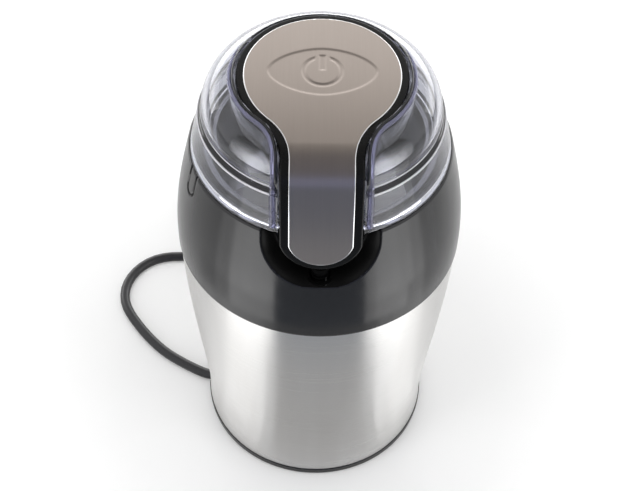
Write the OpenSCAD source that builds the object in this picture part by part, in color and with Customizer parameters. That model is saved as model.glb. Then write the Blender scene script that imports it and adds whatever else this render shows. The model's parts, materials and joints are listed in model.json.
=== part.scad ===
// Electric blade grinder for coffee and spices. Millimetres, +Z up, front towards -Y, origin on the
// standing surface under the middle of the body.

/* [Body] */
// Radius of the black base ring
base_r = 44.3; // [43.5:0.1:46]
// Radius of the steel sleeve at its waist
waist_r = 43.8; // [42.5:0.1:44]
// Height of the waist
waist_z = 16; // [12:1:24]
// Radius of the steel sleeve at the seam
seam_r = 50.1; // [48:0.1:52]
// Height of the seam between steel and upper housing
seam_z = 104; // [100:0.5:108]
// How late the sleeve flares out above the waist
flare = 1.25; // [1:0.05:1.6]
// Thickness of the steel sleeve
sleeve_t = 0.6; // [0.4:0.1:0.9]
// Thickness of the plastic liner inside the sleeve
liner_t = 1.8; // [1.4:0.1:2.4]
// Height of the rubber feet below the base ring
foot_h = 1.2; // [0.8:0.1:2]
// Radius of a rubber foot
foot_r = 4.5; // [3.5:0.1:5]
// Visible height of the base ring
ring_h = 2.4; // [1.8:0.1:3.4]
// Depth of the hollow under the base
hollow_h = 6.8; // [6.4:0.1:8]
// Thickness of the base plate
plate_h = 2; // [1.6:0.1:3]

/* [Upper housing] */
// Largest radius of the upper housing
house_r = 50.7; // [50.2:0.1:53]
// Radius of the upper housing near its rim
rim_r = 44.6; // [44:0.1:46]
// Height of the rim that the lid stands on
rim_z = 147.5; // [145:0.5:152]
// Wall thickness of the upper housing
house_t = 2.2; // [1.8:0.1:2.8]
// Width of the front recess
recess_w = 35; // [32:0.5:38]
// Height of the floor of the front recess
recess_z = 130.2; // [128:0.2:131]
// Corner radius of the front recess
recess_corner_r = 13.5; // [8:0.5:15]
// Depth of the small alignment notch at the left of the rim
notch_depth = 0.8; // [0.4:0.1:1.2]

/* [Bowl and blade] */
// Outer radius of the grinding bowl at its top
bowl_r = 37; // [35:0.1:37.4]
// Depth of the grinding bowl below the rim
bowl_depth = 34.1; // [30:0.1:36]
// Wall thickness of the grinding bowl
bowl_t = 0.8; // [0.6:0.1:1.2]
// Radius between wall and floor of the grinding bowl
bowl_corner_r = 12; // [8:0.5:16]
// Half span of the blade
blade_span = 30; // [24:0.5:31]
// Width of the blade
blade_w = 11; // [9:0.5:14]
// Thickness of the blade
blade_t = 1.4; // [1:0.1:2]
// Height of the hub under the blade
hub_h = 2.5; // [2:0.1:5]

/* [Lid] */
// Outer radius of the lid at its foot
lid_foot_r = 44; // [43:0.1:44.2]
// Outer radius of the lid under its step
lid_band_r = 41; // [40.6:0.1:42]
// Height of the band under the step
lid_band_h = 12.8; // [11:0.1:15]
// Radius of the lid dome above the step
lid_dome_r = 39.7; // [39:0.1:40.4]
// Height of the whole lid
lid_h = 31.5; // [30:0.1:33]
// Wall thickness of the lid
lid_t = 2; // [1.6:0.1:2.6]
// Height of the thick foot of the lid
lid_foot_h = 3.6; // [3:0.1:5]

/* [Button] */
// Radius of the round part of the button frame
button_r = 27.9; // [26:0.1:29]
// Width of the tongue of the button frame
tongue_w = 26.4; // [24:0.1:28]
// Fillet between the round part and the tongue of the frame
button_fillet_r = 17.5; // [12:0.5:22]
// Thickness of the button, frame and plate together
button_t = 3.4; // [3:0.1:3.8]
// Radius of the round part of the steel plate
plate_r = 25.5; // [24:0.1:26]
// Width of the tongue of the steel plate
plate_tongue_w = 20.8; // [18:0.1:22]
// Fillet between the round part and the tongue of the plate
plate_fillet_r = 20; // [14:0.5:24]
// Thickness of the steel plate
plate_t = 0.8; // [0.6:0.1:1]
// How far the steel plate stands above its frame
plate_proud = 0.5; // [0.3:0.1:0.6]
// Height of the back edge of the plate
button_top_z = 178.6; // [177.8:0.1:180]
// Travel of the button
travel = 3; // [2:0.1:3.4]
// Half length of the eye-shaped hollow in the plate
eye_length = 17.6; // [14:0.1:20]
// Half height of the eye-shaped hollow
eye_height = 10; // [8:0.1:12]
// Outer radius of the power symbol
symbol_r = 6.8; // [5:0.1:7.5]

/* [Motor] */
// Radius of the drive shaft
shaft_r = 3; // [2.5:0.1:3.4]
// Radius of the rotor
rotor_r = 15; // [14:0.1:15.2]
// Air gap between rotor and stator
air_gap = 0.5; // [0.4:0.1:0.6]
// Height of the stator stack
stack_h = 25; // [20:0.5:28]
// Width of the stator stack
stator_w = 58; // [54:0.5:60]
// Depth of the stator stack
stator_d = 50; // [49:0.5:52]
// Length of the legs between stator and upper bracket
upper_leg = 14.5; // [14:0.1:17]
// Length of the legs between stator and lower bracket
lower_leg = 25; // [24:0.5:28]
// Radius of the commutator
commutator_r = 8.5; // [7.5:0.1:9]
// Radius of the cooling fan
fan_r = 15.2; // [12:0.1:15.6]

/* [Cord] */
// Diameter of the power cord
cord_d = 4.2; // [3.8:0.1:4.4]
// Length of the plug body
plug_length = 31; // [28:0.5:33]
// Length of the plug pins
pin_length = 19; // [17:0.5:19]

/* [Hidden] */
$fn = 64;

// Clearances
gap = 0.3;
run_gap = 0.05;
slip = 0.1;

// Heights, from the floor up
sleeve_z = foot_h + ring_h;
base_plate_z = foot_h + hollow_h;
base_top_z = base_plate_z + plate_h;
spigot_h = 6.5;
spigot_z = seam_z - spigot_h;
liner_top_z = spigot_z - gap;
bowl_z = rim_z - bowl_depth;
cup_top_z = bowl_z - gap;
cup_floor_t = 2.6;
cup_z = cup_top_z - cup_floor_t;
mount_boss_h = 3.3;
mount_h = 2.7;
bracket_t = 3;
upper_bracket_z = cup_z - mount_boss_h - mount_h - bracket_t;
stack_top_z = upper_bracket_z - upper_leg;
stack_z = stack_top_z - stack_h;
lower_bracket_z = stack_z - lower_leg - bracket_t;
shaft_z = lower_bracket_z - 5;
blade_z = bowl_z + bowl_t + 1.7 + hub_h;
nut_z = blade_z + blade_t + run_gap;
shaft_top_z = nut_z + 3.2;
lid_z = rim_z + gap;
lid_step_z = lid_z + lid_band_h;

// Radii inside the body
skirt_r = waist_r - sleeve_t - 0.2;
hollow_r = base_r - 4.8;
spigot_r = seam_r - sleeve_t - 0.25;
spigot_t = 2;
cup_r = bowl_r + 0.4;
cup_t = 1.6;
recess_back_r = cup_r + cup_t + 1.2;
deck_t = 2.4;
peak_z = seam_z + 3.7;

// Button outline in the plane x = 0: a crowned top, a tight shoulder and a nearly straight face
button_back_y = button_r + 0.5;
top_arc_r = 370;
shoulder_arc_r = 15.5;
face_arc_r = 133;
top_angle = 8.7;
face_angle = 69;
tip_angle = 83;
tip_z = recess_z + 7.4;
frame_tip_z = tip_z - 2.2;
tip_round = 1.05;
button_gap = 0.5;
well_wall = 1.6;
spring_cup_r = 9.5;
spring_cup_z = button_top_z - 17.5;
spring_seat_z = button_top_z - button_t - 2.1;
guide_r = 6.2;
post_r = 4;

// Switch line under the tip of the tongue
plunger_y = -(recess_back_r + 3.6);
plunger_r = 2;
plunger_head_r = 3;
plunger_head_t = 2;
plunger_top_z = frame_tip_z - 0.4;
guide_z = recess_z - 10.7;
counterbore_z = recess_z - 6.2;
plunger_foot_z = guide_z - gap - 1.1;
switch_size = [20, 6.4, 10];
lever_x = -8;
lever_drop = 5.2;
lever_t = 0.4;
lever_l = 9.6;
lever_angle = 30.9;
pin_z = plunger_foot_z - lever_drop;
switch_top_z = pin_z - 1.2;
switch_z = switch_top_z - switch_size[2];

// Places of fasteners
base_screw_r = 33;
base_screw_angles = [0, 90, 270];
foot_angles = [45, 135, 225, 315];
fixing_r = seam_r - 6.9;
fixing_angles = [30, 150, 210, 330];
mount_r = 26;
mount_angles = [0, 120, 240];
bolt_y = 20.5;
leg_r = 4;
coil_in_r = rotor_r + air_gap + 1.6;
coil_out_r = coil_in_r + 4.8;
coil_angle = 61.5;
coil_open_angle = 48.5;
coil_over = 6.8;
arm_w = 12;
brush_z = 8;
brush_end = 24;
brush_w = 8.4;
brush_h = 9;
brush_spring_l = 3.8;
block_size = [18, 9, 8.9];
block_at = [4, 12];
suppressor_size = [18, 8.5, 12.9];
suppressor_at = [5, -23];
switch_skin = 0.75;

// Cord: the relief lies along -X under the base, the lead runs out through the notch in the base
// ring, turns round on the floor behind the body and ends in a coil of five turns in two layers
cord_r = cord_d / 2;
relief_y = 1;
relief_z = 4.6;
relief_root_x = -9;
relief_neck_x = -18;
relief_tip_x = -35;
relief_r = 3.2;
lead_route = [
    [-35, 1, 4.6], [-36.5, 1, 4.6], [-38.5, 1.1, 4], [-41, 1.4, 3.1], [-44, 2, 2.4], [-47.5, 3.2, 2.1],
    [-53, 6, 2.1], [-58, 9, 2.1], [-63, 12.4, 2.1], [-68, 16.8, 2.1], [-73, 22.2, 2.1],
    [-77.5, 28, 2.1], [-81.5, 34, 2.1], [-84.3, 40.4, 2.1], [-84.9, 47.5, 2.1],
    [-83, 54.5, 2.1], [-78.8, 60.5, 2.1], [-72.9, 64.7, 2.1], [-65.6, 66.6, 2.1],
    [-56, 66.7, 2.2], [-47, 66.7, 2.6], [-40, 66.7, 2.9],
];
tail_route = [[-16, 66.7, 7], [-12, 66.7, 6.9], [-8, 66.7, 6.9]];
coil_x = -28;
coil_outer = 29.5;
coil_inner = 20;
tie_t = 0.6;
tie_w = 6;
plug_x = -8;
plug_y = 66.7;
coil_y = plug_y + coil_outer;
plug_z = 6.9;
plug_relief = 12;
plug_w = 26;
pin_spacing = 19;
pin_r = 2;

// ---- Helpers ----

function lerp(a, b, t) = a + (b - a) * t;
function reversed(v) = [for (k = [len(v) - 1:-1:0]) v[k]];
function last(v) = v[len(v) - 1];

// Points of an arc that starts at p and turns from slope a0 to slope a1 below the horizontal
function slope_arc(p, r, a0, a1, n) = [
    for (k = [1:n])
        let (a = lerp(a0, a1, k / n))
        [p[0] - r * (sin(a) - sin(a0)), p[1] - r * (cos(a0) - cos(a))]
];

// Radius of the steel sleeve at a height
function steel_r(z) = z < waist_z
    ? lerp(waist_r, base_r - 0.3, pow((waist_z - z) / (waist_z - sleeve_z), 2))
    : lerp(waist_r, seam_r, sin(90 * pow((z - waist_z) / (seam_z - waist_z), flare)));

function steel_curve(inset, z0, z1, n = 14) = [
    for (k = [0:n]) let (z = lerp(z0, z1, k / n)) [steel_r(z) - inset, z]
];

// Radius of the upper housing at a height
function housing_r(z) = z < peak_z
    ? house_r
    : lerp(rim_r, house_r, cos(90 * (z - peak_z) / (rim_z - peak_z)));

function housing_curve(inset, z0, z1, n = 12) = [
    for (k = [0:n]) let (z = lerp(z0, z1, k / n)) [housing_r(z) - inset, z]
];

// Half of the lid's outline, wall inset t: band, step and flattened dome
function lid_curve(t) = concat(
    [
        [lid_foot_r - t, lid_z],
        [lerp(lid_foot_r, lid_band_r, 0.55) - t, lid_z + lid_band_h / 2],
        [lid_band_r - t, lid_step_z - t],
        [lid_dome_r - t, lid_step_z + 0.5 - t],
    ],
    [
        for (a = [0:7.5:90])
            [
                (lid_dome_r - t) * pow(cos(a), 0.45),
                lid_step_z + 2.7 + (lid_z + lid_h - lid_step_z - 2.7 - t) * sin(a)
            ]
    ]
);

// The button's curve in the plane x = 0, at depth d under its top surface, as [y, z] points
function button_curve(d) =
    let (
        start = [button_back_y, button_top_z - d],
        top = slope_arc(start, top_arc_r - d, 0, top_angle, 4),
        shoulder = slope_arc(last(top), shoulder_arc_r - d, top_angle, face_angle, 10),
        face = slope_arc(last(shoulder), face_arc_r - d, face_angle, tip_angle, 6)
    )
    concat([[button_back_y + 12, button_top_z - d], start], top, shoulder, face);

function lowered(v, dz) = [for (p = v) [p[0], p[1] - dz]];

function unit(v) = v / norm(v);

// Direction of a route at its point k
function heading(route, k) =
    unit(route[min(k + 1, len(route) - 1)] - route[max(k - 1, 0)]);

// A tube of the given radius along a route, as one closed polyhedron
module swept_tube(route, r, sides, up = [0, 0, 1]) {
    rings = len(route);
    points = [
        for (k = [0:rings - 1])
            let (t = heading(route, k), s = unit(cross(t, up)), u = cross(s, t))
            for (i = [0:sides - 1])
                let (a = 360 * (i + 0.5) / sides)
                route[k] + r * (cos(a) * s + sin(a) * u)
    ];
    walls = [
        for (k = [0:rings - 2], i = [0:sides - 1])
            let (j = (i + 1) % sides)
            [k * sides + i, k * sides + j, (k + 1) * sides + j, (k + 1) * sides + i]
    ];
    start = [for (i = [sides - 1:-1:0]) i];
    end = [for (i = [0:sides - 1]) (rings - 1) * sides + i];
    polyhedron(points, concat([start, end], walls));
}

// A compression spring standing on the plane z = 0
module coil_spring(mean_r, wire_r, height, turns, steps = 12) {
    route = [
        for (k = [0:turns * steps])
            let (a = 360 * k / steps)
            [
                mean_r * cos(a), mean_r * sin(a),
                wire_r + (height - 2 * wire_r) * k / (turns * steps)
            ]
    ];
    swept_tube(route, wire_r, 6);
}

module ring(r_out, r_in, z0, z1) {
    translate([0, 0, z0])
        difference() {
            cylinder(r = r_out, h = z1 - z0);
            translate([0, 0, -1]) cylinder(r = r_in, h = z1 - z0 + 2);
        }
}

module rod(r, z0, z1) {
    translate([0, 0, z0]) cylinder(r = r, h = z1 - z0);
}

module box(low, high) {
    translate(low) cube(high - low);
}

// Part of a ring between two angles
module sector(r0, r1, a0, a1, z0, z1) {
    rotate([0, 0, a0])
        rotate_extrude(angle = a1 - a0)
            translate([r0, z0]) square([r1 - r0, z1 - z0]);
}

module at(r, angles) {
    for (a = angles) rotate([0, 0, a]) translate([r, 0, 0]) children();
}

// A pan-head screw that points up, its head's seat at z = 0
module screw_up(r, head_r, head_h, length) {
    rod(r, -slip, length);
    difference() {
        rod(head_r, -head_h - slip, -slip);
        translate([0, 0, -head_h - slip - 1]) cylinder(r = r, h = 1.6, $fn = 6);
    }
}

// Keyhole outline: a circle with a tongue towards -Y and fillets between them
module keyhole(r, half_w, fillet) {
    cx = half_w + fillet;
    cy = -sqrt(pow(r + fillet, 2) - pow(cx, 2));
    circle(r = r);
    translate([-half_w, -80]) square([2 * half_w, 80]);
    for (side = [-1, 1])
        difference() {
            polygon([
                [0, 0], r / (r + fillet) * [side * cx, cy], [side * cx, cy],
                [side * half_w, cy], [0, cy]
            ]);
            translate([side * cx, cy]) circle(r = fillet);
        }
}

module keyhole_prism(r, half_w, fillet) {
    translate([0, 0, 100]) linear_extrude(120) keyhole(r, half_w, fillet);
}

// Everything in front of and above a curve in the plane x = 0
module outside_curve(curve) {
    rotate([90, 0, 90])
        linear_extrude(120, center = true)
            polygon(concat(curve, [[-90, last(curve)[1]], [-90, 230], [curve[0][0], 230]]));
}

// The layer of the button between depths d0 and d1
module button_layer(d0, d1) {
    rotate([90, 0, 90])
        linear_extrude(120, center = true)
            polygon(concat(button_curve(d0), reversed(button_curve(d1))));
}

// Front outline that rounds the tip of the tongue
module tip_outline(half_w, z) {
    r = half_w * tip_round;
    rotate([90, 0, 0])
        linear_extrude(160, center = true)
            union() {
                translate([0, z + r]) circle(r = r);
                translate([-60, z + r]) square([120, 100]);
            }
}

// Front outline of the recess, grown by g, as a prism along Y
module recess_prism(g) {
    w = recess_w / 2 + g;
    c = recess_corner_r + g;
    z = recess_z - g;
    translate([0, -32, 0])
        rotate([90, 0, 0])
            linear_extrude(40)
                union() {
                    translate([-w, z + c]) square([2 * w, 60]);
                    translate([c - w, z]) square([2 * (w - c), c + 1]);
                    for (side = [-1, 1]) translate([side * (w - c), z + c]) circle(r = c);
                }
}

// ---- Base ----

module base_cover() {
    color("black")
    difference() {
        union() {
            rotate_extrude()
                polygon([
                    [base_r, foot_h], [base_r, sleeve_z - slip], [skirt_r, sleeve_z - slip],
                    [skirt_r, base_top_z], [0, base_top_z], [0, base_plate_z],
                    [hollow_r, base_plate_z], [hollow_r, foot_h]
                ]);
            at(base_screw_r, foot_angles) rod(foot_r + 1.7, foot_h, base_plate_z + 1);
            box([relief_neck_x, relief_y - 8, relief_z], [-2, relief_y + 8, base_plate_z + 1]);
        }
        at(base_screw_r, foot_angles) rod(foot_r + slip, foot_h - 1, foot_h + 1.5);
        at(base_screw_r, base_screw_angles) rod(1.6, base_plate_z - 1, base_top_z + 1);
        for (a = [22.5, 67.5, 112.5, 247.5, 292.5, 337.5])
            rotate([0, 0, a]) box([12, -1.5, base_plate_z - 1], [25, 1.5, base_top_z + 1]);
        // channel of the strain relief, its way up into the body, and the cord notch
        translate([relief_neck_x - 1, relief_y, relief_z])
            rotate([0, 90, 0]) cylinder(r = relief_r + slip, h = 12);
        translate([-5.6, relief_y, relief_z - 1]) cylinder(r = 2.6, h = 12);
        translate([-9, relief_y, relief_z]) rotate([0, 90, 0]) cylinder(r = 2.4, h = 4);
        box(
            [-base_r - 5, relief_y + 0.7 - cord_r - 1.3, foot_h - 1],
            [-hollow_r + 4, relief_y + 0.7 + cord_r + 1.3, relief_z + 2]
        );
        for (side = [-1, 1])
            translate([-13, relief_y + side * 5.6, relief_z - 1]) cylinder(r = 1, h = 4.6);
    }
}

module rubber_feet() {
    color("dimgray") at(base_screw_r, foot_angles) rod(foot_r, 0, foot_h + 1.45);
}

module base_screws() {
    color("silver")
        at(base_screw_r, base_screw_angles)
            translate([0, 0, base_plate_z]) screw_up(1.5, 3.2, 2, 14);
}

module cord_clamp() {
    color("black")
    difference() {
        box([relief_neck_x, relief_y - 8, 1.5], [-2, relief_y + 8, relief_z - run_gap]);
        translate([relief_neck_x - 1, relief_y, relief_z])
            rotate([0, 90, 0]) cylinder(r = relief_r + slip, h = 12);
        for (side = [-1, 1])
            translate([-13, relief_y + side * 5.6, 0]) cylinder(r = 1.1, h = 9);
    }
}

module clamp_screws() {
    color("silver")
        for (side = [-1, 1])
            translate([-13, relief_y + side * 5.6, 1.5]) screw_up(0.95, 1.9, 1.1, 5.8);
}

module strain_relief() {
    color("black")
        translate([0, relief_y, relief_z])
            rotate([0, -90, 0])
                rotate_extrude()
                    polygon([
                        [0, -relief_root_x], [relief_r, -relief_root_x],
                        [relief_r, -relief_neck_x], [cord_r + 0.6, -relief_tip_x],
                        [0, -relief_tip_x]
                    ]);
}

// ---- Body ----

module steel_sleeve() {
    color("silver")
    difference() {
        rotate_extrude()
            polygon(concat(
                steel_curve(0, sleeve_z, seam_z - 0.2),
                reversed(steel_curve(sleeve_t, sleeve_z, seam_z - 0.2))
            ));
        box([-60, relief_y + 0.7 - cord_r - 0.6, 0], [-30, relief_y + 0.7 + cord_r + 0.6, 5.2]);
    }
}

module body_liner() {
    inset = sleeve_t + gap;
    z0 = base_top_z + slip;
    lug_z = liner_top_z - 3.5;
    wall_r = steel_r(lug_z) - inset - liner_t;
    color("gray")
    difference() {
        union() {
            rotate_extrude()
                polygon(concat(
                    steel_curve(inset, z0, liner_top_z),
                    reversed(steel_curve(inset + liner_t, z0, liner_top_z))
                ));
            at(base_screw_r + 2, base_screw_angles) {
                rod(4.4, z0, z0 + 16);
                box([3, -1.2, z0], [waist_r - inset - liner_t - base_screw_r - 1.4, 1.2, z0 + 16]);
            }
            at(fixing_r, fixing_angles) {
                rod(3.8, lug_z, liner_top_z - 0.4);
                box([2, -2.5, lug_z], [wall_r - fixing_r + 0.6, 2.5, liner_top_z - 0.4]);
            }
        }
        at(base_screw_r, base_screw_angles) rod(1.55, z0 - 1, z0 + 14);
        at(fixing_r, fixing_angles) rod(1.7, lug_z - 1, liner_top_z + 1);
    }
}

module upper_housing() {
    boss_z = liner_top_z - 0.3;
    color([0.09, 0.09, 0.1])
    difference() {
        union() {
            // outer wall, deck, bowl cup and spigot
            rotate_extrude()
                polygon(concat(
                    [[house_r - 0.25, seam_z]],
                    housing_curve(0, seam_z + 1.2, rim_z - 1),
                    [[rim_r - 0.4, rim_z]],
                    [[cup_r, rim_z], [cup_r, rim_z - deck_t]],
                    reversed(housing_curve(house_t, seam_z, rim_z - deck_t))
                ));
            ring(cup_r + cup_t, cup_r, cup_z, rim_z - 0.5);
            ring(cup_r + 0.5, 6.4, cup_z, cup_top_z);
            difference() {
                union() {
                    ring(spigot_r, spigot_r - spigot_t, spigot_z, seam_z + 2);
                    ring(
                        max(spigot_r, house_r - 0.25), min(spigot_r - spigot_t, house_r - house_t),
                        seam_z, seam_z + 2
                    );
                }
                intersection() {
                    box([-11, -60, spigot_z - 1], [11, 0, seam_z + 3]);
                    rod(spigot_r - switch_skin, spigot_z - 2, seam_z + 4);
                }
            }
            // walls of the front recess and the guide of the plunger
            intersection() {
                recess_prism(1.6);
                rotate_extrude()
                    polygon(concat(
                        [[0, seam_z + 1.2]], housing_curve(0, seam_z + 1.2, rim_z - 1),
                        [[rim_r - 0.4, rim_z], [0, rim_z]]
                    ));
            }
            translate([0, plunger_y, 0]) rod(4.4, guide_z, recess_z);
            // bosses for the motor mounts and for the screws from the liner
            at(mount_r, mount_angles) rod(5, cup_z - mount_boss_h, cup_z + 1);
            at(fixing_r, fixing_angles) {
                rod(3.6, boss_z, seam_z + 8);
                box([2, -1, spigot_z], [house_r - house_t - fixing_r + 0.5, 1, seam_z + 8]);
            }
            // posts that carry the microswitch
            intersection() {
                rod(spigot_r, spigot_z, seam_z + 8);
                for (side = [-1, 1])
                    translate([side * 4.75, plunger_y - switch_size[1] / 2 - slip, switch_z + 3.5])
                        rotate([90, 0, 0]) cylinder(r = 2.3, h = 9);
            }
        }
        translate([0, 0, cup_top_z]) cylinder(r = cup_r, h = 60);
        difference() {
            recess_prism(0);
            translate([0, 0, recess_z - 5]) cylinder(r = recess_back_r, h = 60);
        }
        translate([0, plunger_y, 0]) {
            rod(plunger_r + run_gap, guide_z - 1, recess_z + 1);
            rod(plunger_head_r + 0.4, counterbore_z, recess_z + 1);
        }
        at(mount_r, mount_angles) rod(1.55, cup_z - mount_boss_h - 1, cup_z + 1.2);
        at(fixing_r, fixing_angles) rod(1.55, boss_z - 1, seam_z + 5);
        for (side = [-1, 1])
            translate([side * 4.75, plunger_y, switch_z + 3.5])
                rotate([90, 0, 0]) cylinder(r = 1.05, h = 4.8);
        // pocket that clears the microswitch
        translate([0, plunger_y, switch_z - slip])
            box(
                [-switch_size[0] / 2 - gap, -switch_size[1] / 2 - slip, 0],
                [switch_size[0] / 2 + gap, switch_size[1] / 2 + slip, switch_size[2] + slip]
            );
        // alignment notch at the left of the rim
        rotate([0, 0, 197])
            translate([housing_r(rim_z - 4) - notch_depth, 0, 0]) {
                translate([0, 0, rim_z - 5.5]) rotate([0, 90, 0]) cylinder(r = 2.8, h = 9);
                box([0, -2.8, rim_z - 5.5], [9, 2.8, rim_z + 2]);
            }
    }
}

module housing_screws() {
    color("silver")
        at(fixing_r, fixing_angles)
            translate([0, 0, liner_top_z - 3.5]) screw_up(1.5, 2.9, 1.8, 11);
}

// ---- Bowl and blade ----

module grinding_bowl() {
    wall_r = bowl_r - 0.5;
    arc = [for (a = [0:15:90]) [sin(a), -cos(a)]];
    corner = [wall_r - bowl_corner_r, bowl_z + bowl_corner_r];
    outer = [for (p = arc) corner + bowl_corner_r * p];
    inner = [for (p = arc) corner + (bowl_corner_r - bowl_t) * p];
    color("silver")
        rotate_extrude()
            polygon(concat(
                [[6.3, bowl_z]], outer,
                [
                    [bowl_r, rim_z + run_gap], [bowl_r + 1.2, rim_z + run_gap],
                    [bowl_r + 1.3, rim_z + 0.9], [bowl_r + 0.9, rim_z + 1.5],
                    [bowl_r, rim_z + 1.5], [bowl_r - bowl_t, rim_z + 1]
                ],
                reversed(inner), [[6.3, bowl_z + bowl_t]]
            ));
}

module shaft_seal() {
    floor_z = bowl_z + bowl_t;
    color("darkslategray")
        rotate_extrude()
            polygon([
                [shaft_r + run_gap, cup_z], [6.2, cup_z], [6.2, floor_z + run_gap],
                [8.6, floor_z + run_gap], [8.2, floor_z + 1], [6, floor_z + 1.4],
                [shaft_r + run_gap, floor_z + 1.4]
            ]);
}

module blade_hub() {
    color("silver") ring(5, shaft_r + 0.02, blade_z - hub_h, blade_z - run_gap);
}

module grinding_blade() {
    wing = blade_span - 8;
    color("silver")
    difference() {
        union() {
            rod(blade_w / 2 + 1.2, blade_z, blade_z + blade_t);
            for (a = [0, 180])
                rotate([0, 0, a]) {
                    box([0, -blade_w / 2, blade_z], [10, blade_w / 2, blade_z + blade_t]);
                    translate([8.5, 0, blade_z + blade_t / 2])
                        rotate([9, 0, 0])
                            rotate([0, -5, 0])
                                translate([0, -blade_w / 2, -blade_t / 2])
                                    linear_extrude(blade_t)
                                        polygon([
                                            [0, 0], [wing - 5, 0], [wing, blade_w * 0.45],
                                            [wing - 1, blade_w], [0, blade_w]
                                        ]);
                }
        }
        rod(shaft_r + 0.02, blade_z - 5, blade_z + 9);
    }
}

module blade_nut() {
    color("silver")
    difference() {
        union() {
            translate([0, 0, nut_z]) cylinder(r = 5.4, h = 3, $fn = 6);
            rotate_extrude()
                polygon([[0, nut_z + 2], [4.6, nut_z + 2], [4, nut_z + 4], [2, nut_z + 5.2], [0, nut_z + 5.4]]);
        }
        rod(shaft_r + 0.02, nut_z - 1, shaft_top_z + 0.2);
    }
}

// ---- Motor ----

module drive_shaft() {
    color("lightgray") rod(shaft_r, shaft_z, shaft_top_z);
}

module bearing(r_out, z0, z1) {
    color("darkgoldenrod") ring(r_out, shaft_r + run_gap, z0, z1);
}

module upper_bearing() {
    bearing(6, upper_bracket_z - 2.5, upper_bracket_z + 5);
}

module lower_bearing() {
    bearing(5.5, lower_bracket_z - 2.5, lower_bracket_z + 5.5);
}

module upper_bracket() {
    z = upper_bracket_z;
    color("gray")
    difference() {
        union() {
            box([-arm_w / 2, -bolt_y - leg_r, z], [arm_w / 2, bolt_y + leg_r, z + bracket_t]);
            rod(9.5, z - 3, z + 5.4);
            at(mount_r, mount_angles) {
                rod(5.5, z, z + bracket_t);
                box([-mount_r, -4.5, z], [0, 4.5, z + bracket_t]);
            }
            for (side = [-1, 1]) translate([0, side * bolt_y, 0]) rod(leg_r, stack_top_z + run_gap, z + 1);
        }
        rod(6.02, z - 9, z + 9);
        at(mount_r, mount_angles) rod(1.8, z - 1, z + 9);
        for (side = [-1, 1])
            translate([0, side * bolt_y, 0]) rod(1.65, stack_top_z - 1, z + bracket_t + 1);
    }
}

module lower_bracket() {
    z = lower_bracket_z;
    color("gray")
    difference() {
        union() {
            box([-arm_w / 2, -bolt_y - leg_r, z], [arm_w / 2, bolt_y + leg_r, z + bracket_t]);
            box([2 - brush_end, -arm_w / 2, z], [brush_end - 2, arm_w / 2, z + bracket_t]);
            rod(8.5, z - 2.9, z + 5.9);
            for (side = [-1, 1]) {
                translate([0, side * bolt_y, 0]) rod(leg_r, z + 1, stack_z - run_gap);
                box(
                    [side * (brush_end - 7) - 3, 1 - arm_w / 2, z + 1],
                    [side * (brush_end - 7) + 3, arm_w / 2 - 1, z + brush_z - run_gap]
                );
            }
        }
        rod(5.52, z - 9, z + 9);
        for (side = [-1, 1]) translate([0, side * bolt_y, 0]) rod(1.65, z - 1, stack_z + 1);
    }
}

module motor_bolts() {
    color("silver")
        for (side = [-1, 1])
            translate([0, side * bolt_y, lower_bracket_z])
                screw_up(1.55, 3, 1.8, upper_bracket_z + 2 - lower_bracket_z);
}

module motor_mounts() {
    z = upper_bracket_z + bracket_t;
    color("dimgray") at(mount_r, mount_angles) ring(4.8, 1.8, z + run_gap, z + mount_h - run_gap);
}

module mount_screws() {
    color("silver")
        at(mount_r, mount_angles)
            translate([0, 0, upper_bracket_z]) screw_up(1.5, 3, 1.8, bracket_t + mount_h + 4);
}

module stator_core() {
    color("slategray")
    difference() {
        intersection() {
            box([-stator_w / 2, -stator_d / 2, stack_z], [stator_w / 2, stator_d / 2, stack_top_z]);
            rod(33, stack_z - 1, stack_top_z + 1);
        }
        rod(rotor_r + air_gap, stack_z - 1, stack_top_z + 1);
        for (turn = [0, 180], side = [-1, 1])
            rotate([0, 0, turn])
                sector(
                    coil_in_r - gap, coil_out_r + gap,
                    side > 0 ? coil_open_angle - 1.5 : -coil_angle - 1.5,
                    side > 0 ? coil_angle + 1.5 : -coil_open_angle + 1.5,
                    stack_z - 1, stack_top_z + 1
                );
        for (side = [-1, 1])
            translate([0, side * bolt_y, 0]) rod(1.65, stack_z - 1, stack_top_z + 1);
    }
}

module stator_coils() {
    color("chocolate")
        for (turn = [0, 180])
            rotate([0, 0, turn])
                difference() {
                    sector(
                        coil_in_r, coil_out_r, -coil_angle, coil_angle,
                        stack_z - coil_over, stack_top_z + coil_over
                    );
                    sector(
                        coil_in_r - 1, coil_out_r + 1, -coil_open_angle, coil_open_angle,
                        stack_z - 0.2, stack_top_z + 0.2
                    );
                }
}

module rotor_core() {
    color("slategray")
    difference() {
        rod(rotor_r, stack_z, stack_top_z);
        rod(shaft_r + 0.02, stack_z - 1, stack_top_z + 1);
        for (a = [0:30:330])
            rotate([0, 0, a]) box([rotor_r - 3.5, -0.8, stack_z - 1], [rotor_r + 1, 0.8, stack_top_z + 1]);
    }
}

module rotor_coils() {
    r = rotor_r - 1;
    color("chocolate")
        for (z = [stack_top_z + slip, stack_z - slip - 6.8])
            rotate_extrude()
                polygon([
                    [shaft_r + 2, z], [r, z], [r, z + 4], [r - 3, z + 6.8], [shaft_r + 2, z + 6.8]
                ]);
}

module commutator() {
    z0 = lower_bracket_z + 7.5;
    color("peru")
    difference() {
        ring(commutator_r, shaft_r + 0.02, z0, z0 + 10);
        for (a = [0:30:330])
            rotate([0, 0, a])
                box([commutator_r - 0.7, -0.25, z0 - 1], [commutator_r + 1, 0.25, z0 + 11]);
    }
}

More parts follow.
